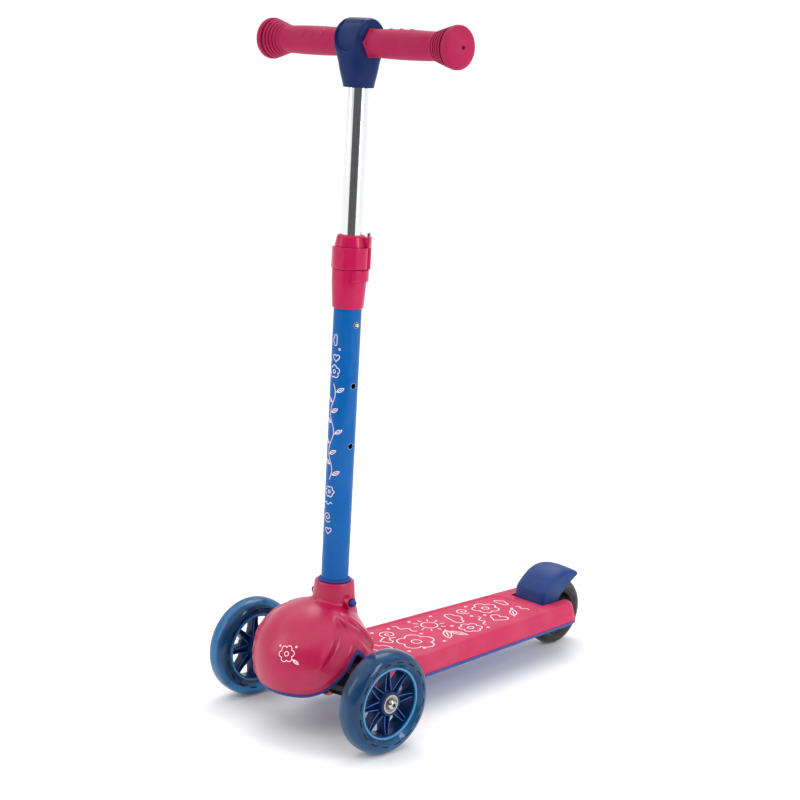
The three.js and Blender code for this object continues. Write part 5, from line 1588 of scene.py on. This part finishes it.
@dataclass
class Handlebar:
    """The crown with its sunk panel, the bar and the two grips."""

    bar_z: float = 782.0
    half_x: float = 21.8
    half_y: float = 23.0
    forward: float = 1.6
    top: float = 27.0
    foot_z: float = 733.5
    foot_r: float = 17.0
    panel: tuple[float, float, float] = (17.6, 22.0, 13.0)
    panel_depth: float = 3.0
    panel_fade: tuple[float, float] = (20.5, 25.5)
    panel_power: float = 2.6
    grip_start: float = 22.1
    grip_r: float = 15.3
    grip_end: float = 150.3
    body_end: float = 121.0
    grip_step: float = 0.9
    crescent_places: tuple[float, float, float] = (52.0, 68.0, 84.0)
    crescent_deg: tuple[float, float] = (176, -60)
    crescent_r: float = 5.0
    crescent_half: float = 0.8
    crescent_height: float = 0.9
    columns: int = 384
    levels: tuple[tuple[float, ...], ...] = (
        (-1, 0, 0, 2, 0), (-0.97, 0.05, 0.05, 2, 0), (-0.67, 0.55, 0.42, 2.4, 0.4),
        (-0.35, 0.85, 0.75, 3, 0.8), (0, 1, 1, 5.5, 1), (0.33, 1, 0.88, 6, 1), (0.63, 1, 0.2, 5.5, 0.9),
        (0.81, 0.9, -0.6, 4.5, 0.8), (0.94, 0.6, -1.6, 4, 0.8), (1, 0, -2.5, 3, 0.8))

    def crown(self) -> Piece:
        """The crown: rounded square rings up the column, with an oval panel sunk in its front.

        The rings' sizes run smoothly between the given levels, and the panel's floor is
        reached over a narrow smooth step.

        Returns:
            The piece, dressed.
        """
        table = np.array(self.levels)
        rise = np.concatenate([np.linspace(-1, 0.6, 110), np.linspace(0.6, 1, 54)[1:]])
        values = np.stack([smooth_through(rise, table[:, 0], table[:, i]) for i in range(1, 5)])
        z = self.bar_z + np.where(rise < 0, rise * (self.bar_z - self.foot_z), rise * self.top)
        half_x = np.clip(self.foot_r + values[0] * (self.half_x - self.foot_r), 13, self.half_x)
        half_y = np.clip(self.foot_r + values[1] * (self.half_y - self.foot_r), 2, self.half_y)
        flat = super_ring(half_x, half_y, np.clip(values[2], 2, 6), self.columns)
        flat[..., 1] -= (values[3] * self.forward)[:, None]
        grid = xyz(flat[..., 0], flat[..., 1], z[:, None])
        width, height, lift = self.panel
        u, above = grid[..., 0] / width, grid[..., 2] - self.bar_z
        v, power = (above - lift) / height, self.panel_power
        edge = (np.abs(u) ** power + np.abs(v) ** power) ** (1 / power)
        sunk = soft_ramp(1.02 - edge, 0, 0.04) * (1 - ramp(above, *self.panel_fade)) * (grid[..., 1] < 0)
        grid[..., 1] += sunk * self.panel_depth
        grid = np.concatenate([grid[:1] * (0.94, 0.94, 1), grid, grid[-1:] * (0.5, 0.5, 1)])
        skin = woven(placed(grid, COLUMN), caps=True)
        return cast("crown_shell", skin, CROWN_NAVY, Body.MAST, "bar_crown", crisp=50)

    def grip_path(self) -> Array:
        """The grip's section from the crown outwards.

        Returns:
            Pairs of radius and place along the bar, with rounded corners.
        """
        r, start, end, knee = self.grip_r, self.grip_start, self.grip_end, self.body_end
        t = np.linspace(0, 1, 14)[1:-1]
        body = xyz(r + 0.9 * np.sin(math.pi * t), start + 3.6 + (knee - start - 3.6) * t)
        ribs = []
        for i in range(5):
            x, low, high = knee + 4.5 * i, 16.2 + 1.25 * i, 17.1 + 1.25 * i
            ribs += [[15.6 + 0.5 * i, x + 0.5], [low, x + 0.8], [high, x + 3.4], [15.7 + 0.5 * i, x + 3.7]]
        ribs += [[16.8, end - 6.6], [16.8, end - 4.9]]
        a = np.linspace(0, math.pi / 2, 16)
        dome = xyz(2.3 + 21.0 * np.cos(a), end + 7 * np.sin(a))
        points = [[11.4, start], [r, start], *body.tolist(), [r, knee], *ribs,
                  [22.6, end - 4.6], [23.3, end - 3.4], *dome.tolist(), [2.3, end - 2], [11.4, end - 2]]
        radius = np.full(len(points), 0.8)
        radius[[0, 1, -1, -2, -3]] = 0.2
        first_rib = 3 + len(body)
        radius[first_rib:first_rib + len(ribs)] = 0.35
        return soft_path(points, radius, 4)

    def grip(self, side: Side) -> Piece:
        """One grip, with its six-sided flange and three raised crescents.

        A crescent is a narrow ridge along one half of a small circle, on the face that looks
        forwards and up.

        Args:
            side: Which end of the bar.

        Returns:
            The piece, dressed.
        """
        path = self.grip_path()
        dense = [path[0]]
        for a, b in zip(path[:-1], path[1:]):
            n = max(1, int(np.linalg.norm(b - a) / self.grip_step))
            dense.extend(a + (b - a) * k / n for k in range(1, n + 1))
        skin = revolved(np.array(dense), 160)
        x, y, z = skin.points.T
        r, angle = np.hypot(x, y), np.arctan2(y, x)
        middle = math.radians(self.crescent_deg[side is Side.RIGHT])
        aside = ((angle - middle + math.pi) % (2 * math.pi) - math.pi) * self.grip_r
        out = np.zeros_like(r)
        for place in self.crescent_places:
            reach, sweep = np.hypot(z - place, aside), np.abs(np.arctan2(aside, place - z))
            ridge = np.exp(-(((reach - self.crescent_r) / self.crescent_half) ** 2))
            out = np.maximum(out, self.crescent_height * (ridge * ramp(1.9 - sweep, 0, 0.5)))
        outer = (r > self.grip_r - 0.5) & (z < self.body_end) & (z > self.grip_start + 4)
        r = r + np.where(outer, out, 0)
        skin.points[:, :2] = polar(r, angle)
        start, end = self.grip_start, self.grip_start + 3.6
        section = soft_path([[11.6, start], [18, start], [18, end], [11.6, end]], [0, 0.5, 1.2, 0], 3)
        flange = revolved(section, 96, shape=lambda rows, a: hexagon(a, math.cos(SIXTH / 2)))
        sleeve = joined([skin, flange]).placed(across_column(self.bar_z, side))
        return cast(f"grip_sleeve_{side.word}", sleeve, GRIP_PINK, Body.MAST, f"grip_{side.word}", crisp=34)


# Wheels

@dataclass
class Wheel:
    """A wheel about X: rim with spoke pairs, see-through tyre and bearings."""

    prefix: str
    suffix: str
    body: Body
    centre: tuple[float, float, float]
    rim_look: Finish
    web_look: Finish
    line_look: Finish
    tyre_look: Finish
    mark_look: Finish
    tyre_r: float = 60.0
    tyre_w: float = 30.0
    lip_r: float = 42.0
    flange_r: float = 50.0
    hub_half: float = 12.4
    rim_half: float = 11.6
    pairs: int = 8
    slots: int = 16
    wall: float = 2.6
    flange_half: float = 3.4
    spoke_spread: float = 4.4
    spoke_tip: float = 1.9
    spoke_thick: float = 1.7
    hub_r: float = 14.4
    square: float = 2.5
    slot_half: float = 2.1
    slot_share: float = 0.29
    mark_share: float = 0.27

    @property
    def place(self) -> Array:
        """The wheel's axis along X at its centre."""
        return shift(*self.centre) @ Z_TO_X

    def band(self) -> Skin:
        """The rim's band with its flange, about Z.

        Returns:
            The skin.
        """
        lip, inner, half = self.lip_r, self.lip_r - self.wall, self.rim_half
        edge, reach = self.flange_half, self.flange_r
        return spun([[inner, -half], [lip, -half], [lip, -edge], [reach, -edge], [reach, edge], [lip, edge],
                     [lip, half], [inner, half], [inner - 0.7, half * 0.5], [inner - 0.7, -half * 0.5]],
                    [0.7, 0.9, 1.0, 0.8, 0.8, 1.0, 0.9, 0.7, 3, 3], 4, 160)

    def named(self, part: str) -> str:
        """A part's name with the wheel's own words round it."""
        return f"{self.prefix}_{part}{self.suffix}"

    def spread(self, t: Array) -> Array:
        """How far a bar stands from its pair's middle, at shares of the way out."""
        return self.spoke_spread + (self.spoke_tip - self.spoke_spread) * t

    def bar_depth(self, t: Array) -> Array:
        """Half a bar's depth, at shares of the way out."""
        return self.rim_half * (0.62 - 0.1 * np.sin(math.pi * t))

    @property
    def pair_turns(self) -> list[float]:
        """The angle of each pair of spokes."""
        return [360 / self.pairs * i for i in range(self.pairs)]

    @property
    def slot_turns(self) -> list[float]:
        """The angle of each slot's middle."""
        return [360 / self.slots * (i + 0.5) for i in range(self.slots)]

    @property
    def shoulder_r(self) -> float:
        """Where the tyre's round section begins."""
        return self.lip_r + (self.tyre_r - self.lip_r) / 4

    def hub(self) -> Skin:
        """The hub with a rounded rim and a seat for a bearing at each side, about Z.

        Returns:
            The skin.
        """
        half, seat, r = self.hub_half, self.hub_half - 7.3, self.hub_r
        return spun([[7.1, -seat], [11.2, -seat], [11.2, -half], [13.4, -half], [r, -half + 2.6],
                     [r, half - 2.6], [13.4, half], [11.2, half], [11.2, seat], [7.1, seat]],
                    [0.2, 0.2, 0.4, 0.7, 1.2, 1.2, 0.7, 0.4, 0.2, 0.2], 4, 96)

    def bar(self, turn_deg: float, x: Array, ring: Array, y: Array | float, lift: Array | float) -> Skin:
        """Closed rings set along one line of the wheel's face.

        Args:
            turn_deg: The line's angle.
            x: Each ring's way out.
            ring: Rows by points by 2, across the face and along the axle.
            y: How far each row stands aside.
            lift: How far each row stands along the axle.

        Returns:
            The skin, about Z.
        """
        grid = xyz(x[:, None], y + ring[..., 0], lift + ring[..., 1])
        return woven(placed(grid, turn("Z", turn_deg)), caps=True)

    def spoke(self, turn_deg: float, side: int) -> Skin:
        """One leaning bar from the hub to the band, with rounded sides that widen at both ends.

        Args:
            turn_deg: Its pair's angle.
            side: 1 or -1, for the bar's side of the pair.

        Returns:
            The skin, about Z.
        """
        start, end = self.hub_r - 1.6, self.lip_r - self.wall / 2
        t = np.linspace(0, 1, 18)
        flare = 1 + 0.7 * np.exp(-t * 12) + 0.9 * np.exp(-(1 - t) * 11)
        ring = super_ring(self.spoke_thick / 2 * flare, self.bar_depth(t), np.full(len(t), 3.2), 20)
        return self.bar(turn_deg, start + (end - start) * t, ring, (side * self.spread(t))[:, None], 0.0)

    def web(self, turn_deg: float) -> Skin:
        """The thin web between a spoke pair, set back from their faces, with a round end.

        Args:
            turn_deg: The pair's angle.

        Returns:
            The skin, about Z.
        """
        t = np.linspace(0, 1, 14)
        x = self.hub_r - 1 + (self.lip_r - self.wall - self.hub_r) * t
        ring = super_ring(self.spread(t), np.full(len(t), self.rim_half * 0.2), np.full(len(t), 4.0), 20)
        return self.bar(turn_deg, x, ring, 0.0, 0.0)

    def ridges(self) -> Skin:
        """Fine raised lines along every bar's two faces, with a round line at the lip's edges; the rim gives
        them a lighter blue as a painted highlight.

        Returns:
            The skin, about Z.
        """
        t = np.linspace(0, 1, 14)
        start, end = self.hub_r + 0.4, self.lip_r - self.wall - 0.1
        x, depth, y = start + (end - start) * t, self.bar_depth(t)[:, None], self.spread(t)[:, None]
        section = super_ring(np.array([0.42]), np.array([0.45]), np.array([2.4]), 10)
        skins = [self.bar(at, x, section, side * y, face * depth)
                 for at in self.pair_turns for side in (1, -1) for face in (1, -1)]
        for face in (1, -1):
            line = polar(0.2, evenly(12)) + (self.lip_r - 2.0, face * (self.rim_half - 0.2))
            skins.append(revolved(line, 120))
        return joined(skins)

    def rim(self) -> None:
        """The rim: band with slotted flange, spoke pairs and their webs, fine lines and hub."""
        piece = solid(self.named("wheel_band"), self.band().placed(self.place))
        middle = (self.lip_r + self.flange_r) / 2
        low, high = middle - self.slot_half, middle + self.slot_half
        reach = 360 / self.slots * self.slot_share
        section = soft_path([[low, -9], [high, -9], [high, 9], [low, 9]], 0, 1)
        tools = [swept_arc(section, at - reach, at + reach, 8, 2.0, self.place) for at in self.slot_turns]
        dress(carved(piece, tools, 36), self.rim_look, self.body, self.named("rim"))
        inner = self.lip_r - self.wall - 0.75
        wall = pipe(inner, inner - 0.3, 1.4 - self.rim_half, self.rim_half - 1.4, 0.1, 120)
        bars = [self.spoke(at, side) for at in self.pair_turns for side in (1, -1)]
        dark = joined(bars + [self.web(at) for at in self.pair_turns] + [wall])
        # painted highlight: the raised lines take the lighter blue that stands in for their edge highlights
        for part, skin, look in (("spokes", dark, self.web_look), ("lines", self.ridges(), self.line_look),
                                 ("hub", self.hub(), self.web_look)):
            cast(self.named("wheel_" + part), skin.placed(self.place), look, self.body, crisp=40)

    def marks(self) -> Piece:
        """The flange's slots as they show through the tyre: dark dashes at both its faces, painted shade for
        the slots' darkness seen through the tyre.

        Returns:
            The piece, dressed.
        """
        r = self.lip_r + np.array([6.2, 7.9, 7.9, 6.2]) * ((self.tyre_r - self.lip_r) / 18)
        out = (r - self.shoulder_r) / (self.tyre_r - self.shoulder_r)
        side = self.tyre_w / 2 * (1 - out ** self.square) ** (1 / self.square)
        section = xyz(r, side + np.array([0.06, 0.06, -0.4, -0.4]))
        reach = 360 / self.slots * self.mark_share
        skins = [swept_arc(section * (1, face), at - reach, at + reach, 8, 0.2, self.place)
                 for at in self.slot_turns for face in (1, -1)]
        return cast(self.named("slot_marks"), joined(skins), self.mark_look, self.body, crisp=40)

    def tyre(self) -> Piece:
        """The tyre: a squared round section round the flange, |a|^p + |b|^p = 1 above the lip.

        Returns:
            The piece, dressed.
        """
        half, lip, wide = self.tyre_w / 2, self.lip_r + 0.3, self.rim_half - 0.4
        a = np.linspace(-math.pi / 2, math.pi / 2, 33)
        c, s = np.abs(np.cos(a)), np.sin(a)
        reach = (c ** self.square + np.abs(s) ** self.square) ** (-1 / self.square)
        out = self.shoulder_r + (self.tyre_r - self.shoulder_r) * reach * c
        groove, rim = self.flange_half + 0.3, self.flange_r + 0.3
        seat = [[lip, wide], [lip, groove], [rim, groove], [rim, -groove], [lip, -groove]]
        path = np.concatenate([[[lip, -wide]], xyz(out, half * reach * s), seat])
        skin = revolved(path, 160, self.place)
        return cast(self.named("tyre_clear"), skin, self.tyre_look, self.body, self.named("tyre"), crisp=40)

    def bearings(self) -> None:
        """Both bearings: races as rounded rings with a metal shield sunk between them."""
        for letter, way in (("a", 1), ("b", -1)):
            place = self.place @ shift(0, 0, way * self.hub_half) @ turn("X", 0 if way < 0 else 180)
            races = joined([pipe(10.85, 9.3, 0, 7, 0.35, 72, place), pipe(6.0, 4.2, 0, 7, 0.3, 72, place)])
            bearing = f"{self.named('bearing')}_{letter}"
            cast(f"{self.named('race')}_{letter}", races, ZINC, self.body, bearing)
            seal = spun([[5.9, 0.5], [9.4, 0.5], [9.4, 6.5], [5.9, 6.5]], 0.15, 2, 72, place)
            cast(f"{self.named('seal')}_{letter}", seal, SHIELD, self.body)

    def build(self) -> None:
        """All the wheel's pieces."""
        self.rim()
        self.marks()
        self.tyre()
        self.bearings()


def button_head(length: float, head_h: float, place: Array) -> Skin:
    """A button-headed axle bolt about Z with a six-sided socket in its dome.

    Args:
        length: Its length below the head.
        head_h: Height of the dome.
        place: Where the head's seat goes.

    Returns:
        The skin.
    """
    a = np.linspace(0, math.pi / 2 * 0.8, 9)
    dome = xyz(AXLE_HEAD_R * np.cos(a) ** 0.8, 0.3 + (head_h - 0.3) * np.sin(a) / math.sin(a[-1]))
    socket, floor = AXLE_HEAD_R * 0.42, head_h * 0.45
    shank = [[0, -length], [AXLE_SHANK_R, -length], [AXLE_SHANK_R, 0], [AXLE_HEAD_R - 0.2, 0]]
    recess = [[socket + 0.3, head_h], [socket, head_h - 0.2], [socket, floor], [0, floor]]
    path = np.concatenate([shank, dome, recess])
    last = len(path)

    def shape(rows: Array, angle: Array) -> Array:
        """Six sides on the socket's two rows, round elsewhere."""
        return np.where((rows >= last - 3) & (rows < last - 1), hexagon(angle, 0.93), 1.0)

    return revolved(path, 72, place, shape)


@dataclass
class Truck:
    """The sprung front truck's beam, bushings, bolts and washers."""

    track: float = 232.0
    hub_half: float = 12.4

    def build(self) -> None:
        """The truck's pieces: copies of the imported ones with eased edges, and turned bolts."""
        for node, look, body, width in (
                ("truck_beam", NYLON, Body.TRUCK, 0.9), ("truck_bracket", NYLON, Body.FRAME, 0.7),
                ("pivot_rubber", RED_RUBBER, Body.TRUCK, 0.4),
                ("lean_stop_left", RED_RUBBER, Body.FRAME, 0.6),
                ("lean_stop_right", RED_RUBBER, Body.FRAME, 0.6),
                ("pivot_cap", RED_RUBBER, Body.FRAME, 0.9),
                ("pivot_bolt", ZINC, Body.FRAME, 0.5), ("pivot_nut", ZINC, Body.FRAME, 0.5)):
            dress(cad_copy(node, node + "_eased", width), look, body, node)
        for side in Side:
            place = shift(0, FRONT_AXLE_Y, FRONT_WHEEL_R) @ turn("Y", 90 * side.value)
            bolt = button_head(60.0, 4.4, place @ shift(0, 0, self.track / 2 + self.hub_half + 0.4))
            cast(f"axle_screw_{side.word}", bolt, ZINC, Body.TRUCK, f"axle_bolt_{side.word}", crisp=30)
            washer = pipe(5.8, 4.2, 98.1, self.track / 2 - self.hub_half - 0.4, 0.4, 48, place)
            cast(f"axle_sleeve_{side.word}", washer, ZINC, Body.TRUCK, f"axle_washer_{side.word}")


# Rear brake

@dataclass
class Brake:
    """The foot brake: a crowned fender over the rear wheel, its pad, pin, axle and fork fittings."""

    half: float = 26.4
    wall: float = 2.6
    crown: float = 5.4
    edge: float = 3.4
    edge_power: int = 9
    columns: int = 49
    skirt_rows: int = 15
    drops: tuple[float, float, float] = (0.4, 1.0, 0.2)
    top: tuple[tuple[float, float], ...] = ((-1.133, 0.411), (-1.1, 0.62), (-1.056, 0.856))
    shoulder: tuple[float, float] = (-0.578, 1.44)
    crest: tuple[float, float] = (-0.067, 1.44)
    back: tuple[float, float] = (0.2, 1.391)
    tail: tuple[float, float] = (0.391, 1.271)
    lip: tuple[float, float] = (0.387, 1.173)
    skirt: tuple[float, float] = (0.078, 1.022)
    skirt_foot: tuple[float, float] = (-0.456, 0.6)
    heel: tuple[float, float] = (-0.533, 0.333)

    @staticmethod
    def curve(a: Sequence[float], b: Sequence[float], c: Sequence[float], count: int) -> Array:
        """A quadratic curve from a to c that leans towards b."""
        return bent(*np.array([a, b, c]), np.linspace(0, 1, count)[:, None])

    def fender(self) -> Piece:
        """The fender as one closed skin.

        At each place along it the section runs up the left skirt, round a soft edge, over the
        crown, z = top - crown (x/half)^2, and down the right skirt; its inner face is the same
        section with a wall's inset.

        Returns:
            The piece, dressed.
        """
        ridge = np.concatenate([self.curve(self.top[0], self.top[1], self.top[2], 8)[:-1],
                                self.curve(self.top[2], self.shoulder, self.crest, 34)[:-1],
                                self.curve(self.crest, self.back, self.tail, 18)])
        lower = np.concatenate([np.repeat([self.heel], 6, 0),
                                self.curve(self.heel, self.heel, self.skirt_foot, 9)[1:],
                                self.curve(self.skirt_foot, self.skirt, self.lip, len(ridge) - 14)])
        share = np.linspace(0, 1, len(ridge))
        drop = np.interp(share, [0, 0.14, 0.7, 1], [self.drops[0], *self.drops])

        def at(points: Array, down: Array) -> Array:
            """Places in the side view from shares of the wheel's radius, drawn in towards the axle."""
            reach = REAR_WHEEL_R - down / np.hypot(points[..., 0], points[..., 1])
            return xyz(REAR_AXLE_Y + points[..., 0] * reach, REAR_WHEEL_R + points[..., 1] * reach)

        def section(inset: float) -> Array:
            """Rows along the fender by points across it.

            Args:
                inset: Distance in from the outer face.

            Returns:
                Rows by points by 3.
            """
            half = self.half - inset
            across = np.linspace(-1, 1, self.columns)
            ease = 1 - np.sqrt(np.clip(1 - np.abs(across) ** self.edge_power, 0, 1))
            down = inset + ease[None] * self.edge + drop[:, None] * self.crown * across[None] ** 2
            over = at(ridge[:, None], down)
            top = xyz(across * half, over[..., 0], over[..., 1])
            t = np.linspace(0, 1, self.skirt_rows)[1:]
            foot = at(lower, np.zeros(len(lower)))
            wall = []
            for end in (0, -1):
                edge = over[:, end]
                run = edge[:, None] + (foot - edge)[:, None] * t[None, :, None]
                wall.append(xyz(across[end] * half, run[..., 0], run[..., 1]))
            return np.concatenate([wall[0][:, ::-1], top, wall[1]], 1)

        outer, inner = section(0.0), section(self.wall)
        skirt = np.s_[:, :self.skirt_rows, 1:]
        inner[skirt] = outer[skirt] + (inner[skirt] - outer[skirt]) * 0.5
        loop = np.concatenate([outer, inner[:, ::-1]], 1)
        piece = solid("fender_shell", woven(loop), 40)
        with opened(piece.data) as work:
            bmesh.ops.holes_fill(work, edges=[edge for edge in work.edges if edge.is_boundary])
            bmesh.ops.recalc_face_normals(work, faces=work.faces)
        sharp_from(piece.data, 40)
        return dress(piece, SHELL_BLUE, Body.BRAKE, "brake_fender")

    def hinge(self) -> Piece:
        """The fender's round hinge lugs on the pin, inside the deck's slot.

        Returns:
            The piece, dressed.
        """
        place = shift(0, REAR_AXLE_Y - 53, 57) @ Z_TO_X
        skins = [pipe(5.6, 3.0, *span, 0.5, 40, place) for span in ((-26.2, -23.8), (23.8, 26.2))]
        return cast("fender_lugs", joined(skins), SHELL_BLUE, Body.BRAKE)

    def fittings(self) -> None:
        """The pad, the pin, the rear axle, its nut and spacers."""
        dress(cad_copy("brake_pad", "pad_plate", 0.3), ZINC, Body.BRAKE, "brake_pad")
        bolt = button_head(51.0, 3.7, shift(0, REAR_AXLE_Y, REAR_WHEEL_R) @ Z_TO_X @ shift(0, 0, 23.3))
        cast("rear_axle_screw", bolt, ZINC, Body.FRAME, "rear_axle_bolt", crisp=30)
        for node in ("rear_axle_nut", "rear_spacer_left", "rear_spacer_right", "brake_pin"):
            dress(cad_copy(node, node + "_eased", 0.3), ZINC, Body.FRAME, node)


# The stage

@dataclass
class Studio:
    """The camera at the photograph's angle, soft light all round and a plain pale floor."""

    eye: tuple[float, float, float] = (1447.5, -1486.5, 815.1)
    azimuth: float = 45.66
    pitch: float = 12.42
    roll: float = 1.88
    lens: float = 79.10
    floor_reach: float = 200000.0

    def camera(self) -> None:
        """The camera: looks along azimuth and pitch, then rolls about its own axis."""
        a, p, r = (math.radians(v) for v in (self.azimuth, self.pitch, self.roll))
        ahead = np.array([-math.sin(a) * math.cos(p), math.cos(a) * math.cos(p), -math.sin(p)])
        right = np.array([math.cos(a), math.sin(a), 0.0])
        up = np.cross(right, ahead)
        right, up = math.cos(r) * right + math.sin(r) * up, -math.sin(r) * right + math.cos(r) * up
        matrix = np.eye(4)
        matrix[:3, 0], matrix[:3, 1], matrix[:3, 2] = right, up, -ahead
        matrix[:3, 3] = np.array(self.eye) * MM
        data = bpy.data.cameras.new("photo_view")
        data.lens, data.sensor_width = self.lens, 36.0
        made = linked("photo_view", data)
        made.matrix_world = Matrix(matrix.tolist())
        bpy.context.scene.camera = made

    @staticmethod
    def light(name: str, kind: str, way: Vector, **settings: object) -> Piece:
        """A new light, turned so that it shines against a direction.

        Args:
            name: The light's name.
            kind: Its type.
            way: From what it lights towards the light.
            **settings: Its own properties.

        Returns:
            The light's object.
        """
        data = bpy.data.lights.new(name, kind)
        for label, value in settings.items():
            setattr(data, label, value)
        made = linked(name, data)
        made.rotation_mode = "QUATERNION"
        made.rotation_quaternion = way.to_track_quat("Z", "Y")
        return made

    def lamp(self, name: str, place: Sequence[float], size: tuple[float, float], watts: float) -> None:
        """One soft rectangular light that looks at the scooter's middle."""
        self.light(name, "AREA", Vector(place) - Vector((0, 0, 0.3)), shape="RECTANGLE", size=size[0],
                   size_y=size[1], energy=watts).location = place

    @staticmethod
    def room(dim: float, bright: float) -> None:
        """The world's even light.

        Args:
            dim: Its strength overhead.
            bright: Its strength along the horizon, behind the floor.
        """
        world = bpy.data.worlds.new("pale_room")
        world.use_nodes = True
        tree = world.node_tree
        way = wired(tree, "SeparateXYZ", {0: wired(tree, "TexCoord", {}).outputs["Generated"]})
        strength = mapped(tree, way.outputs["Z"], 0.04, 0.12, bright, dim)
        fed(tree, tree.nodes["Background"], {"Color": (1, 1, 1, 1), "Strength": strength})
        bpy.context.scene.world = world

    @staticmethod
    def painted(piece: Piece, colour: tuple[float, float, float], roughness: float,
                specular: float = 0.5) -> None:
        """Gives a piece of the stage an even paint of its own name.

        Args:
            piece: The piece.
            colour: Its linear colour.
            roughness: The paint's roughness.
            specular: Its reflection level.
        """
        paint = bpy.data.materials.new(piece.name)
        paint.use_nodes = True
        fed(paint.node_tree, paint.node_tree.nodes["Principled BSDF"], {
            "Base Color": (*colour, 1), "Roughness": roughness, "Specular IOR Level": specular})
        piece.data.materials.append(paint)

    def card(self, name: str, from_deg: float, to_deg: float, reach: float, top: float) -> None:
        """A dark upright card on an arc round the column, seen in reflections alone.

        Args:
            name: The card's name.
            from_deg: Its near end, in degrees to the camera's right of the way to the camera.
            to_deg: Its far end.
            reach: The arc's radius in millimetres.
            top: The card's height.
        """
        turned = np.radians(np.linspace(from_deg, to_deg, 13) + self.azimuth - 90)
        low = polar(reach, turned, 30) + (0, -190, 0)
        made = solid(name, woven(np.stack([low, low + (0, 0, top)]), ring=False))
        for kind in ("camera", "diffuse", "transmission", "volume_scatter", "shadow"):
            setattr(made, f"visible_{kind}", False)
        self.painted(made, (0.06, 0.058, 0.06), 0.8)

    def build(self) -> None:
        """Camera, lights, the world's pale light, the dark card and the floor."""
        self.camera()
        self.lamp("softbox_left", (-1.5, -2.3, 1.5), (0.7, 1.8), 12)
        self.lamp("softbox_right", (2.6, 0.5, 1.5), (0.6, 1.8), 30)
        self.lamp("softbox_back", (-0.9, 1.0, 2.2), (1.5, 1.2), 16)
        self.light("overhead", "SUN", Vector((-0.2, -0.15, 1.0)), energy=1.05, angle=math.radians(90))
        self.room(0.79, 1.05)
        self.card("dark_card", -42, 42, 1900, 1500)
        bpy.context.scene.view_settings.view_transform = "Standard"
        corners = self.floor_reach * np.array([[-1, -1, 0], [1, -1, 0], [1, 1, 0], [-1, 1, 0]])
        self.painted(solid("floor", Skin(corners, [[0, 1, 2, 3]])), (0.94, 0.94, 0.945), 0.95, 0.1)


PLAIN_NODES = (
    ("guide_bush", NYLON), ("slide_bush", NYLON), ("bar_tube", ZINC), ("snap_leaf", ZINC),
    ("release_spring", ZINC), ("brake_spring", ZINC), ("front_spacer_left", ZINC),
    ("front_spacer_right", ZINC), ("rear_spacer", ZINC),
)


def dress_hidden() -> None:
    """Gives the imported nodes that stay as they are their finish."""
    for name, look in PLAIN_NODES:
        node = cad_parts[name]
        node.data.materials.clear()
        node.data.materials.append(look.material())
        log.info("%s: packed node kept", name)


def main() -> None:
    """Builds the scooter's pieces in order, then the stage."""
    logging.basicConfig(level=logging.INFO, format="%(message)s")
    hood, deck, column, clamp = Hood(), Deck(), Column(), Clamp()
    bar, truck, brake = Handlebar(), Truck(), Brake()
    for make in (hood.build, hood.bosses, hood.liner, hood.emblem):
        make()
    for side in Side:
        hood.button(side)
    deck.shell()
    deck.landing(hood)
    for make in (deck.tray, deck.artwork, column.tube, column.hole_rims, column.bush, column.mast,
                 column.stud, column.artwork, clamp.body, clamp.lever, clamp.pin, bar.crown):
        make()
    for side in Side:
        bar.grip(side)
    for side in Side:
        Wheel("front", f"_{side.word}", Body[f"WHEEL_{side.name}"],
              (truck.track / 2 * side.value, FRONT_AXLE_Y, FRONT_WHEEL_R),
              WHEEL_BLUE, WEB_NAVY, LINE_BLUE, TYRE_CLEAR_BLUE, SLOT_SHADE_NAVY).build()
    Wheel("rear", "", Body.WHEEL_REAR, (0.0, REAR_AXLE_Y, REAR_WHEEL_R),
          NYLON, NYLON, NYLON, TYRE_SMOKE, NYLON, tyre_r=REAR_WHEEL_R, tyre_w=24.0, lip_r=30.0, flange_r=36.0,
          hub_half=11.4, rim_half=9.6, pairs=6, slots=12).build()
    for make in (truck.build, brake.fender, brake.hinge, brake.fittings, dress_hidden, Studio().build):
        make()


if __name__ == "__main__":
    main()
